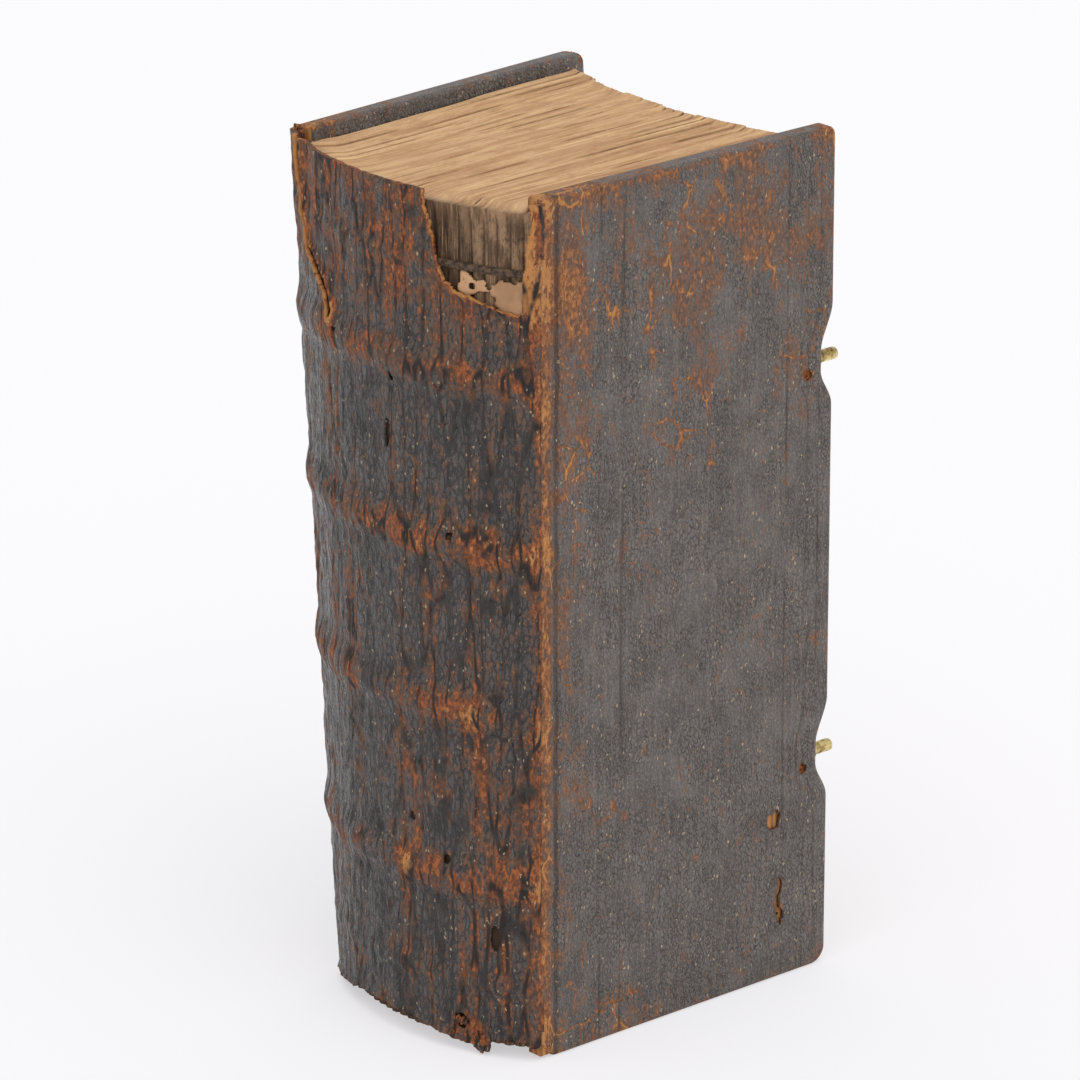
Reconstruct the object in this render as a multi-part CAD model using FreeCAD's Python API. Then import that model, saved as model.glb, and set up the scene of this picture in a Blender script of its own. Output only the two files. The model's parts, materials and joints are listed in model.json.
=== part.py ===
import FreeCAD, Part
import math
import os

V = FreeCAD.Vector

# A small, thick book, hand bound in leather over thin wooden boards, that stands on its tail.
# X runs across the spine, with the front board on the +X side. Y runs from the spine to the
# fore edge, and Z from tail to head. Sizes are millimetres.

# Boards
BOARD_HEIGHT = 165.0
BOARD_DEPTH = 72.0
CORE_THICKNESS = 3.2
COVER_LEATHER = 0.6
COVER_THICKNESS = CORE_THICKNESS + 2 * COVER_LEATHER
CORNER_RADIUS = 2.6
EDGE_RADIUS = 0.9
TURN_IN = 11.0
PASTEDOWN_THICKNESS = 0.3

# Thickness of the shut book, and how the back board stands away from the front board
SPINE_WIDTH_AT_TAIL = 56.7
BACK_SPLAY = 4.3
BACK_LEAN = 3.7

# Book block
HEAD_SQUARE = 2.6
TAIL_SQUARE = 2.2
FORE_SQUARE = 4.0
SPINE_ROUND = 8.6
FORE_HOLLOW = 4.5
# Groups of leaves stand out unevenly at the fore edge: share of the block's thickness, counted
# from the back board, at which each group ends, and how far it stands out.
FORE_GROUPS = ((0.13, 0.3), (0.3, -0.4), (0.47, 0.25), (0.62, -0.35), (0.8, 0.3), (1.0, -0.3))
BLOCK_CLEARANCE = 0.5
SHOULDER_INSET = 1.0
SHOULDER_SET_BACK = 0.2

# Leather joints between the spine and the boards
JOINT_CLEARANCE = 0.3

# Spine covering
LINING_THICKNESS = 0.5
SPINE_LEATHER = 0.8
SPINE_HEAD_DROP = 0.8
TAIL_TAG_RISE = 0.4

# Raised bands over the sewing cords
BAND_COUNT = 4
BAND_FIRST = 34.5
BAND_PITCH = 32.2
BAND_WIDTH = 7.0
CORD_THICKNESS = 2.0
CORD_WIDTH = 3.4

# Kettle stitches near both ends of the sections
KETTLE_TAIL = 14.5
KETTLE_HEAD_DROP = 14.0
KETTLE_THICKNESS = 0.9
KETTLE_WIDTH = 1.4
KETTLE_RIDGE_WIDTH = 4.0

# Cord ends laced into the boards
SLIP_LENGTH = 9.0
SLIP_WIDTH = 3.0
SLIP_DEPTH = 1.1
LACING_HOLE = 2.4

# Brass catch pins in the fore edge of the front board
PIN_HEIGHTS = (42.9, 120.5)
PIN_DIAMETER = 2.4
PIN_PROUD = 5.2
PIN_BURIED = 8.0
PIN_TIP_RADIUS = 0.6
COLLAR_DIAMETER = 3.4
COLLAR_THICKNESS = 0.8

# Recesses in the fore edge round the pins
NOTCH_DEPTH = 2.8
NOTCH_FLOOR = 4.0
NOTCH_RISE = 9.0
NOTCH_FALL = 7.0

# Nails across the pin shanks, seen at the bottom of round holes in the leather
NAIL_DIAMETER = 1.7
NAIL_LENGTH = 2.4
NAIL_INSET = 6.6
NAIL_SUNK = 0.3

# Torn and worn places of the spine leather. Each point is the distance from the joint that the
# list is named for, and the drop below the head of the boards.
MISSING_AT_HEAD = (
    (22.0, -2.0), (21.3, 3.8), (19.8, 8.0), (19.1, 11.3), (17.1, 17.1), (13.7, 19.0),
    (12.3, 19.1), (6.5, 21.1), (2.9, 21.7), (2.3, 20.5), (2.1, 14.4), (1.6, 8.8),
    (0.8, 4.3), (1.3, -2.0),
)
FRONT_JOINT_CRACK = (
    (3.2, 20.9), (3.6, 25.8), (2.9, 30.3), (1.9, 33.0), (2.5, 30.1), (3.2, 25.8), (2.8, 20.9),
)
BACK_JOINT_SPLIT = (
    (5.4, -2.0), (5.8, 6.0), (8.3, 16.3), (9.0, 19.9), (13.2, 22.2), (16.5, 25.4), (18.2, 30.1),
    (17.5, 30.5), (15.7, 25.9), (12.2, 22.9), (8.2, 20.4), (7.5, 16.5), (5.0, 6.0), (4.4, -2.0),
)
# Width and height of each hole, after its distance from the front joint and its height
WORM_HOLES = (
    (45.5, 131.9, 1.8, 2.0), (29.1, 127.6, 1.2, 1.2), (30.5, 116.6, 1.3, 4.6),
    (15.5, 100.3, 1.2, 1.2), (24.7, 43.9, 1.3, 1.5), (16.4, 37.5, 1.3, 1.3),
    (7.0, 23.6, 1.4, 5.0),
)
TAIL_HOLE = (13.6, 6.0, 2.4, 2.8)
# Distance from the front joint and height of the torn tail edge, with its hanging tag
TAIL_EDGE = (
    (-2.0, 2.8), (0.7, 2.8), (1.9, 3.9), (8.0, 3.2), (8.4, 0.4), (9.6, 0.4), (10.9, 1.6),
    (15.6, 2.3), (21.1, 3.3), (26.9, 4.0), (32.5, 4.4), (39.7, 4.1), (46.0, 3.0), (54.0, 1.8),
    (60.0, 1.8),
)

# Places where the front board's leather is gone: distance from the spine edge, and height
BARE_PATCH = ((56.0, 33.4), (59.6, 33.8), (58.6, 30.2), (56.6, 31.2))
BOARD_TEAR = (
    (59.5, 21.4), (60.5, 18.6), (59.4, 15.4), (60.6, 12.8), (59.7, 9.2), (59.0, 12.8),
    (58.2, 15.4), (59.2, 18.6),
)

# Sizes that follow from those above
JOINT_HALF = JOINT_CLEARANCE / 2
BLOCK_SIDE = COVER_THICKNESS + BLOCK_CLEARANCE
BLOCK_TAIL = TAIL_SQUARE
BLOCK_HEAD = BOARD_HEIGHT - HEAD_SQUARE
BLOCK_FORE = BOARD_DEPTH - FORE_SQUARE
SHOULDER_Y = -JOINT_HALF - SHOULDER_SET_BACK
LEATHER_INNER = LINING_THICKNESS
LEATHER_OUTER = LINING_THICKNESS + SPINE_LEATHER
SPINE_HEAD = BOARD_HEIGHT - SPINE_HEAD_DROP
BAND_HEIGHTS = [BAND_FIRST + i * BAND_PITCH for i in range(BAND_COUNT)]
KETTLE_HEIGHTS = (KETTLE_TAIL, BOARD_HEIGHT - KETTLE_HEAD_DROP)
PIN_SEAT_Y = BOARD_DEPTH - NOTCH_DEPTH

# Small gaps between pieces that lie on each other, and how far cutters reach past what they cut
FACE_GAP = 0.02
RIB_GAP = 0.1
CUT_REACH = 20.0
SKIN_REACH = 1.0

# Shares of the way across the spine, from the front joint to the back joint
PANEL_ENDS = (0.02, 0.98)
RIB_ENDS = (0.01, 0.99)
HOLLOW_ENDS = (-0.05, 1.05)
RIB_ROOT = 0.3

# How near two coordinates lie that are taken as equal
SAME_PLACE = 1e-6


def cover_point(side, inward, depth, z):
    """Point on a cover: inward from its outer face, depth from its spine edge, at height z."""
    if side == "front":
        return V(-inward, depth, z)
    splay = math.radians(BACK_SPLAY)
    lean = math.radians(BACK_LEAN)
    along = V(-math.sin(splay), math.cos(splay), 0)
    inside = V(math.cos(splay) * math.cos(lean), math.sin(splay) * math.cos(lean), math.sin(lean))
    upward = V(-math.sin(lean) * math.cos(splay), -math.sin(lean) * math.sin(splay), math.cos(lean))
    rise = (z - inward * inside.z) / upward.z
    return V(-SPINE_WIDTH_AT_TAIL, 0, 0) + inside * inward + along * depth + upward * rise


def place_cover(shape, side):
    """Puts a piece drawn as part of the front cover onto the cover it belongs to."""
    if side == "front":
        return shape
    turned = shape.mirror(V(0, 0, 0), V(1, 0, 0))
    turned.rotate(V(0, 0, 0), V(0, 0, 1), BACK_SPLAY)
    splay = math.radians(BACK_SPLAY)
    turned.rotate(V(0, 0, 0), V(-math.sin(splay), math.cos(splay), 0), -BACK_LEAN)
    turned.translate(V(-SPINE_WIDTH_AT_TAIL, 0, 0))
    return turned


def line(a, b):
    return Part.makeLine(a, b)


def arc(a, middle, b):
    return Part.Arc(a, middle, b).toShape()


def prism(points, start, direction):
    """Straight-sided solid over a closed outline, from the plane of start along direction."""
    closed = list(points) + [points[0]]
    face = Part.Face(Part.makePolygon(closed))
    face.translate(start)
    return face.extrude(direction)


class SpineArc:
    """The round of the book block's spine at one height."""

    def __init__(self, z):
        front = cover_point("front", SHOULDER_INSET, SHOULDER_Y, z)
        back = cover_point("back", SHOULDER_INSET, SHOULDER_Y, z)
        chord = back - front
        half = chord.Length / 2
        self.radius = (half * half + SPINE_ROUND * SPINE_ROUND) / (2 * SPINE_ROUND)
        outward = V(chord.y, -chord.x, 0).normalize()
        if outward.y > 0:
            outward = outward * -1
        self.centre = (front + back) * 0.5 - outward * (self.radius - SPINE_ROUND)
        self.front_angle = math.atan2(front.y - self.centre.y, front.x - self.centre.x)
        self.back_angle = math.atan2(back.y - self.centre.y, back.x - self.centre.x)
        if self.back_angle > 0:
            self.back_angle -= 2 * math.pi

    def at(self, share, offset):
        """Point at a share of the way from front to back, offset outwards from the block."""
        angle = self.front_angle + share * (self.back_angle - self.front_angle)
        reach = self.radius + offset
        return self.centre + V(math.cos(angle) * reach, math.sin(angle) * reach, 0)

    def curve(self, offset, start=0.0, end=1.0):
        return arc(self.at(start, offset), self.at((start + end) / 2, offset), self.at(end, offset))


def ring(z, inner, outer, width, start=0.0, end=1.0):
    """Rib round the spine whose section is a low arch, between two offsets from the block."""
    spine = SpineArc(z)
    low = V(spine.radius + inner, 0, -width / 2)
    high = V(spine.radius + inner, 0, width / 2)
    crown = V(spine.radius + outer, 0, 0)
    face = Part.Face(Part.Wire([arc(low, crown, high), line(high, low)]))
    span = math.degrees(spine.back_angle - spine.front_angle)
    face.rotate(V(0, 0, 0), V(0, 0, 1), math.degrees(spine.front_angle) + start * span)
    face.translate(spine.centre)
    return face.revolve(spine.centre, V(0, 0, 1), (end - start) * span)


def fore_points(z):
    """Hollow fore edge from the back board to the front one, group by group."""
    back = cover_point("back", BLOCK_SIDE, BLOCK_FORE, z)
    front = cover_point("front", BLOCK_SIDE, BLOCK_FORE, z)
    points = []
    start = 0.0
    for end, stand in FORE_GROUPS:
        for share in (start, end):
            hollow = 4 * FORE_HOLLOW * share * (1 - share)
            points.append(back + (front - back) * share + V(0, stand - hollow, 0))
        start = end
    return points


def block_wire(z):
    spine = SpineArc(z)
    front_in = cover_point("front", BLOCK_SIDE, SHOULDER_Y, z)
    back_in = cover_point("back", BLOCK_SIDE, SHOULDER_Y, z)
    corners = [spine.at(1, 0), back_in] + fore_points(z) + [front_in, spine.at(0, 0)]
    edges = [line(a, b) for a, b in zip(corners[:-1], corners[1:])]
    return Part.Wire([spine.curve(0)] + edges)


def text_block():
    return Part.makeLoft([block_wire(BLOCK_TAIL), block_wire(BLOCK_HEAD)], True, True)


def leather_wire(z):
    """Section of the spine leather, from joint to joint."""
    spine = SpineArc(z)
    ends = []
    for side in ("front", "back"):
        ends.append(cover_point(side, 0, -JOINT_HALF, z))
        ends.append(cover_point(side, SPINE_LEATHER, -JOINT_HALF, z))
    front_out, front_in, back_out, back_in = ends
    return Part.Wire([
        spine.curve(LEATHER_OUTER),
        line(spine.at(1, LEATHER_OUTER), back_out),
        line(back_out, back_in),
        line(back_in, spine.at(1, LEATHER_INNER)),
        spine.curve(LEATHER_INNER, 1.0, 0.0),
        line(spine.at(0, LEATHER_INNER), front_in),
        line(front_in, front_out),
        line(front_out, spine.at(0, LEATHER_OUTER)),
    ])


def through_spine(points):
    """Solid that cuts through the spine leather along Y."""
    return prism([V(x, 0, z) for x, z in points], V(0, SKIN_REACH, 0), V(0, -CUT_REACH, 0))


def worn_cuts():
    head = [(-away, BOARD_HEIGHT - drop) for away, drop in MISSING_AT_HEAD]
    crack = [(-away, BOARD_HEIGHT - drop) for away, drop in FRONT_JOINT_CRACK]
    split = []
    for away, drop in BACK_JOINT_SPLIT:
        z = BOARD_HEIGHT - drop
        split.append((cover_point("back", 0, 0, z).x + away, z))
    tail = [(-away, z) for away, z in TAIL_EDGE]
    tail = [(tail[0][0], -SKIN_REACH)] + tail + [(tail[-1][0], -SKIN_REACH)]
    cuts = [through_spine(points) for points in (head, crack, split, tail)]
    for away, z, width, height in WORM_HOLES + (TAIL_HOLE,):
        oval = Part.Ellipse(V(0, 0, 0), height / 2, width / 2).toShape()
        face = Part.Face(Part.Wire([oval]))
        face.rotate(V(0, 0, 0), V(0, 0, 1), 90)
        face.rotate(V(0, 0, 0), V(1, 0, 0), 90)
        face.translate(V(-away, 0, z))
        cuts.append(face.extrude(V(0, -CUT_REACH, 0)))
    return cuts


def spine_leather():
    skin = Part.makeLoft([leather_wire(TAIL_TAG_RISE), leather_wire(SPINE_HEAD)], True, True)
    bands = []
    hollows = []
    ribs = [(z, CORD_THICKNESS, CORD_WIDTH, BAND_WIDTH) for z in BAND_HEIGHTS]
    ribs += [(z, KETTLE_THICKNESS, KETTLE_WIDTH, KETTLE_RIDGE_WIDTH) for z in KETTLE_HEIGHTS]
    for z, thickness, width, outer_width in ribs:
        root = LEATHER_OUTER - RIB_ROOT
        bands.append(ring(z, root, thickness + SPINE_LEATHER, outer_width, *RIB_ENDS))
        hollows.append(ring(z, 0, thickness, width, *HOLLOW_ENDS))
    skin = skin.fuse(bands)
    return skin.cut(hollows).cut(worn_cuts())


def lining_panels():
    """Paper between one rib of the spine and the next."""
    ribs = [(KETTLE_HEIGHTS[0], KETTLE_WIDTH)]
    ribs += [(z, CORD_WIDTH) for z in BAND_HEIGHTS]
    ribs += [(KETTLE_HEIGHTS[1], KETTLE_WIDTH)]
    panels = []
    for (below, below_width), (above, above_width) in zip(ribs[:-1], ribs[1:]):
        wires = []
        for z in (below + below_width / 2 + FACE_GAP, above - above_width / 2 - FACE_GAP):
            spine = SpineArc(z)
            start, end = PANEL_ENDS
            outer = LINING_THICKNESS - FACE_GAP
            wires.append(Part.Wire([
                spine.curve(outer, start, end),
                line(spine.at(end, outer), spine.at(end, FACE_GAP)),
                spine.curve(FACE_GAP, end, start),
                line(spine.at(start, FACE_GAP), spine.at(start, outer)),
            ]))
        panels.append(Part.makeLoft(wires, True, True))
    return panels


def notch(z, extra):
    """Cutter for the recess round a catch pin, deeper by extra under the leather."""
    edge = BOARD_DEPTH - extra
    floor = PIN_SEAT_Y - extra
    beyond = BOARD_DEPTH + CUT_REACH
    floor_top = z + NOTCH_FLOOR / 2
    floor_low = z - NOTCH_FLOOR / 2
    top = floor_top + NOTCH_RISE
    low = floor_low - NOTCH_FALL
    rise = Part.BezierCurve()
    rise.setPoles([V(0, floor, floor_top), V(0, floor, floor_top + NOTCH_RISE / 2),
                   V(0, edge, top - NOTCH_RISE / 2), V(0, edge, top)])
    fall = Part.BezierCurve()
    fall.setPoles([V(0, edge, low), V(0, edge, low + NOTCH_FALL / 2),
                   V(0, floor, floor_low - NOTCH_FALL / 3), V(0, floor, floor_low)])
    outline = Part.Wire([
        fall.toShape(),
        line(V(0, floor, floor_low), V(0, floor, floor_top)),
        rise.toShape(),
        line(V(0, edge, top), V(0, beyond, top)),
        line(V(0, beyond, top), V(0, beyond, low)),
        line(V(0, beyond, low), V(0, edge, low)),
    ])
    face = Part.Face(outline)
    face.translate(V(SKIN_REACH, 0, 0))
    return face.extrude(V(-COVER_THICKNESS - 2 * SKIN_REACH, 0, 0))


def slab(outer_inset, inner_inset, edge_inset, corner):
    """Board-shaped slab between two depths below the outer face, with rounded fore corners."""
    low = edge_inset
    high = BOARD_HEIGHT - edge_inset
    fore = BOARD_DEPTH - edge_inset
    body = Part.makeBox(inner_inset - outer_inset, fore - JOINT_HALF, high - low,
                        V(-inner_inset, JOINT_HALF, low))
    corners = []
    for edge in body.Edges:
        middle = edge.CenterOfMass
        along_x = abs(edge.BoundBox.XLength - (inner_inset - outer_inset)) < SAME_PLACE
        if along_x and abs(middle.y - fore) < SAME_PLACE:
            corners.append(edge)
    return body.makeFillet(corner, corners)


def soften(body):
    """Rounds the long edges of a leather-covered board, apart from the joint side."""
    picked = []
    for edge in body.Edges:
        box = edge.BoundBox
        flat = box.XLength < SAME_PLACE
        if flat and box.YMax > JOINT_HALF + SAME_PLACE:
            picked.append(edge)
    return body.makeFillet(EDGE_RADIUS, picked)


def board_notches(side):
    return PIN_HEIGHTS if side == "front" else ()


def slip_shape(z):
    """End of a sewing cord: flat along the board's outer face, then through the lacing hole."""
    outer = -COVER_LEATHER
    run = Part.makeBox(SLIP_DEPTH, SLIP_LENGTH - JOINT_HALF, SLIP_WIDTH,
                       V(outer - SLIP_DEPTH, JOINT_HALF, z - SLIP_WIDTH / 2))
    peg = Part.makeCylinder(LACING_HOLE / 2, CORE_THICKNESS, V(outer, SLIP_LENGTH, z), V(-1, 0, 0))
    return run.fuse(peg).removeSplitter()


def board_core(side):
    core = slab(COVER_LEATHER, COVER_LEATHER + CORE_THICKNESS, COVER_LEATHER,
                CORNER_RADIUS - COVER_LEATHER)
    cuts = [slip_shape(z) for z in BAND_HEIGHTS]
    for z in board_notches(side):
        cuts.append(notch(z, COVER_LEATHER))
        cuts.append(catch_pin(z))
        cuts.append(nail_bore(z))
    return core.cut(cuts)


def board_patches():
    """Cutters for the places where the leather of the front board's outer face is gone."""
    cuts = []
    for outline in (BARE_PATCH, BOARD_TEAR):
        points = [V(0, y, z) for y, z in outline]
        cuts.append(prism(points, V(SKIN_REACH, 0, 0), V(-SKIN_REACH - COVER_LEATHER, 0, 0)))
    return cuts


def board_leather(side):
    """Leather over the outer face and three edges of a board, with its turn-ins."""
    whole = soften(slab(0, COVER_THICKNESS, 0, CORNER_RADIUS))
    for z in board_notches(side):
        whole = whole.cut(notch(z, 0))
    hollow = slab(COVER_LEATHER, COVER_LEATHER + CORE_THICKNESS, COVER_LEATHER,
                  CORNER_RADIUS - COVER_LEATHER)
    for z in board_notches(side):
        hollow = hollow.cut(notch(z, COVER_LEATHER))
    window = Part.makeBox(COVER_LEATHER + SKIN_REACH, BOARD_DEPTH - TURN_IN - JOINT_HALF,
                          BOARD_HEIGHT - 2 * TURN_IN,
                          V(-COVER_THICKNESS - SKIN_REACH, JOINT_HALF, TURN_IN))
    leather = whole.cut(hollow).cut(window)
    if side == "front":
        leather = leather.cut(board_patches())
        for z in PIN_HEIGHTS:
            leather = leather.cut(catch_pin(z))
            leather = leather.cut(nail_hole(z))
    return leather


def pastedown():
    inner = -COVER_LEATHER - CORE_THICKNESS - PASTEDOWN_THICKNESS
    return Part.makeBox(PASTEDOWN_THICKNESS, BOARD_DEPTH - TURN_IN - JOINT_HALF,
                        BOARD_HEIGHT - 2 * TURN_IN, V(inner, JOINT_HALF, TURN_IN))


def catch_pin(z):
    """Brass pin with a collar that seats on the floor of its recess."""
    seat = V(-COVER_THICKNESS / 2, PIN_SEAT_Y, z)
    outward = V(0, 1, 0)
    shank = Part.makeCylinder(PIN_DIAMETER / 2, PIN_BURIED, seat, V(0, -1, 0))
    collar = Part.makeCone(COLLAR_DIAMETER / 2, PIN_DIAMETER / 2, COLLAR_THICKNESS, seat, outward)
    rod = Part.makeCylinder(PIN_DIAMETER / 2, PIN_PROUD, seat, outward)
    tip_y = seat.y + PIN_PROUD
    tip = [edge for edge in rod.Edges if abs(edge.BoundBox.YMin - tip_y) < SAME_PLACE]
    rod = rod.makeFillet(PIN_TIP_RADIUS, tip)
    return shank.fuse([collar, rod]).removeSplitter()


def nail_centre(z):
    beside = (PIN_DIAMETER + NAIL_DIAMETER) / 2
    return V(0, BOARD_DEPTH - NAIL_INSET, z - beside - FACE_GAP)


def nail_hole(z):
    start = nail_centre(z) + V(SKIN_REACH, 0, 0)
    return Part.makeCylinder(NAIL_DIAMETER / 2, COVER_LEATHER + SKIN_REACH, start, V(-1, 0, 0))


def nail_bore(z):
    """Hole in the board core, from its outer face to the end of the nail."""
    start = nail_centre(z) - V(COVER_LEATHER, 0, 0)
    return Part.makeCylinder(NAIL_DIAMETER / 2, NAIL_SUNK + NAIL_LENGTH, start, V(-1, 0, 0))


def catch_nail(z):
    head = nail_centre(z) - V(COVER_LEATHER + NAIL_SUNK, 0, 0)
    return Part.makeCylinder(NAIL_DIAMETER / 2, NAIL_LENGTH, head, V(-1, 0, 0))


def cover_nodes(side):
    nodes = {
        side + "_board": board_core(side),
        side + "_leather": board_leather(side),
        side + "_pastedown": pastedown(),
    }
    for i, z in enumerate(BAND_HEIGHTS):
        nodes["%s_slip_%d" % (side, i + 1)] = slip_shape(z)
    if side == "front":
        for name, z in zip(("lower", "upper"), PIN_HEIGHTS):
            nodes["catch_pin_" + name] = catch_pin(z)
            nodes["catch_nail_" + name] = catch_nail(z)
    return {name: place_cover(shape, side) for name, shape in nodes.items()}


def block_nodes():
    nodes = {"text_block": text_block(), "spine_leather": spine_leather()}
    for i, z in enumerate(BAND_HEIGHTS):
        nodes["sewing_cord_%d" % (i + 1)] = ring(z, RIB_GAP, CORD_THICKNESS - FACE_GAP, CORD_WIDTH)
    for name, z in zip(("tail", "head"), KETTLE_HEIGHTS):
        nodes["kettle_thread_" + name] = ring(z, RIB_GAP, KETTLE_THICKNESS - FACE_GAP, KETTLE_WIDTH)
    for i, panel in enumerate(lining_panels()):
        nodes["spine_lining_%d" % (i + 1)] = panel
    return nodes


def main():
    nodes = block_nodes()
    for side in ("front", "back"):
        nodes.update(cover_nodes(side))
    box = FreeCAD.BoundBox()
    for shape in nodes.values():
        box.add(shape.optimalBoundingBox(False, False))
    shift = V(-box.Center.x, -box.Center.y, -box.ZMin)
    os.makedirs("parts", exist_ok=True)
    for name, shape in nodes.items():
        shape.translate(shift)
        solids = len(shape.Solids)
        if solids != 1 or not shape.isValid():
            print("check", name, "solids", solids, "valid", shape.isValid())
        shape.exportStep("parts/%s.step" % name)
    for side in ("front", "back"):
        low = cover_point(side, 0, 0, 0) + shift
        high = cover_point(side, 0, 0, BOARD_HEIGHT) + shift
        print(side, "joint", [round(c, 3) for c in low], [round(c, 3) for c in high])
    print("box", round(box.XLength, 2), round(box.YLength, 2), round(box.ZLength, 2))


main()
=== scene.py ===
# %% [markdown]
# An antique leather book, dressed for its portrait.
# The book is small and thick. It stands on its tail with its covers shut, and it has had a hard life:
# the spine's leather is torn off at the head, split along the back joint and drilled by worms.
# The construction comes packed from the CAD model as a fixed frame. This lesson adds what the eye
# reads as age: wrinkled leather, uneven leaf edges, torn rims, rubbed joints and tarnished brass.

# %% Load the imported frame
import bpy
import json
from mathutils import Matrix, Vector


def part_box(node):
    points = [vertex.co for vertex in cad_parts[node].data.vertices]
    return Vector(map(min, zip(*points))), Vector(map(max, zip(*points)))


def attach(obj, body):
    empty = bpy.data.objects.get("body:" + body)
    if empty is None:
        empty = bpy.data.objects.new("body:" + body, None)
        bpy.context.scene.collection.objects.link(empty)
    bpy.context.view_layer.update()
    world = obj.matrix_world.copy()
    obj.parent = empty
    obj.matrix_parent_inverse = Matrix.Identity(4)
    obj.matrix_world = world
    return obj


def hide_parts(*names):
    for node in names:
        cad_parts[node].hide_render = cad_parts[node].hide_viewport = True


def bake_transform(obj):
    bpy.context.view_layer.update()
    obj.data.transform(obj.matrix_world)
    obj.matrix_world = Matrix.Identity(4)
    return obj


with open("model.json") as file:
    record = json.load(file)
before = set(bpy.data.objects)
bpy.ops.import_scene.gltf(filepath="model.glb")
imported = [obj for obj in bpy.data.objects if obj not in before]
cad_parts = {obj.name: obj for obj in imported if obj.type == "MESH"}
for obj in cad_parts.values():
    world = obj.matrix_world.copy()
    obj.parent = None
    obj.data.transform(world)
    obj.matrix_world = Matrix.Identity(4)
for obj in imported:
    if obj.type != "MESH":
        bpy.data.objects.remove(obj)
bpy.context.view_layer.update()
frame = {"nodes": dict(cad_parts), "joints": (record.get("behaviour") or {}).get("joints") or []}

# %% [markdown]
# The tools. bmesh holds its mesh operators, which cut, fold and turn a shape as a bench tool does.
# mathutils brings vectors, turns and a noise that gives the same wear on every run. The crumbs of
# leather need dice as well, and those are thrown from a fixed seed for the same reason.

# %% Tools of the trade
import json
import math
import random
import bpy
import bmesh
from mathutils import Matrix, Vector, noise

# %% [markdown]
# Where things are. Everything is placed from the two joints of the covers, which the frame gives.
# A joint runs up the outer spine edge of its board. The front one is upright. The back one leans,
# because the block is thicker at the head than at the tail, and the back board also splays a
# little towards the fore edge. A place on a cover is given by three distances: inward from the
# outer face, depth from the joint, and height above the floor.

# %% The covers' own directions
MM = 0.001
joints = {joint["name"]: joint for joint in frame["joints"]}
front_joint = Vector(joints["front_cover_joint"]["pos_m"])
front_joint.z = 0.0
back_axis = Vector(joints["back_cover_joint"]["axis"]).normalized()
back_joint = Vector(joints["back_cover_joint"]["pos_m"])
back_joint = back_joint - back_axis * (back_joint.z / back_axis.z)
lean = math.acos(back_axis.z)
splay = math.atan2(-back_axis.y, -back_axis.x)

COVERS = {
    "front": (front_joint, Vector((-1, 0, 0)), Vector((0, 1, 0)), Vector((0, 0, 1))),
    "back": (
        back_joint,
        Vector((math.cos(splay) * math.cos(lean), math.sin(splay) * math.cos(lean), math.sin(lean))),
        Vector((-math.sin(splay), math.cos(splay), 0)),
        back_axis,
    ),
}


def cover_point(side, inward, depth, rise):
    """Place on a cover, with rise measured along the cover itself."""
    start, inside, along, upward = COVERS[side]
    return start + inside * inward + along * depth + upward * rise


def cover_at_height(side, inward, depth, z):
    """The same, at a height above the floor."""
    start, inside, along, upward = COVERS[side]
    return cover_point(side, inward, depth, (z - inward * inside.z) / upward.z)


BOARD_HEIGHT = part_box("front_leather")[1][2]
BOARD_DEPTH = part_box("front_leather")[1][1] - front_joint.y
COVER_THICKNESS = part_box("front_leather")[1][0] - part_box("front_leather")[0][0]
BLOCK_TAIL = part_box("text_block")[0][2]
BLOCK_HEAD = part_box("text_block")[1][2]
SPINE_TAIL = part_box("spine_leather")[0][2]
SPINE_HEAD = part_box("spine_leather")[1][2]
print("lean", round(math.degrees(lean), 2), "splay", round(math.degrees(splay), 2), "degrees")
print("board", round(BOARD_HEIGHT / MM, 1), round(BOARD_DEPTH / MM, 1), round(COVER_THICKNESS / MM, 1))

# %% [markdown]
# The camera comes first, because everything is judged through it. It was worked out from the
# corners of the boards: a long lens, far away, looking down by about twenty degrees.

# %% Camera
CAMERA_AZIMUTH = 48.48
CAMERA_ELEVATION = 19.46
CAMERA_AT = Vector((936.1, -828.4, 526.4)) * MM
FRAME_PIXELS = 1080
FOCAL_PIXELS = 7117
SENSOR = 36.0

camera_data = bpy.data.cameras.new("portrait_camera")
camera_data.sensor_width = SENSOR
camera_data.lens = FOCAL_PIXELS / FRAME_PIXELS * SENSOR
camera = bpy.data.objects.new("portrait_camera", camera_data)
camera.location = CAMERA_AT
camera.rotation_euler = (math.radians(90 - CAMERA_ELEVATION), 0, math.radians(CAMERA_AZIMUTH))
bpy.context.scene.collection.objects.link(camera)
bpy.context.scene.camera = camera
bpy.context.scene.view_settings.view_transform = "Standard"
print("lens", round(camera_data.lens, 1), "mm")

# %% [markdown]
# The studio is a pale floor under an even sky, with one broad, soft lamp to the right. Sky and lamp
# together add up to about one, so that a colour renders as it is written. For the camera alone,
# about half of the floor's tone is a fixed paper white, which keeps the shadow as faint as it is
# in the photograph.

# %% Floor and light
FLOOR_HALF = 1.6
PAPER_WHITE_SHARE = 0.55
SKY_STRENGTH = 0.78
BACKGROUND_STRENGTH = 0.92
KEY_STRENGTH = 1.2
KEY_FROM = Vector((0.65, -0.4, 1.3))
KEY_SOFTNESS = 60.0


def srgb(red, green, blue):
    """A colour as a picture editor shows it, turned into the linear values that shaders use."""
    return tuple(
        c / 255 / 12.92 if c / 255 <= 0.04045 else ((c / 255 + 0.055) / 1.055) ** 2.4
        for c in (red, green, blue)
    ) + (1.0,)


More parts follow.
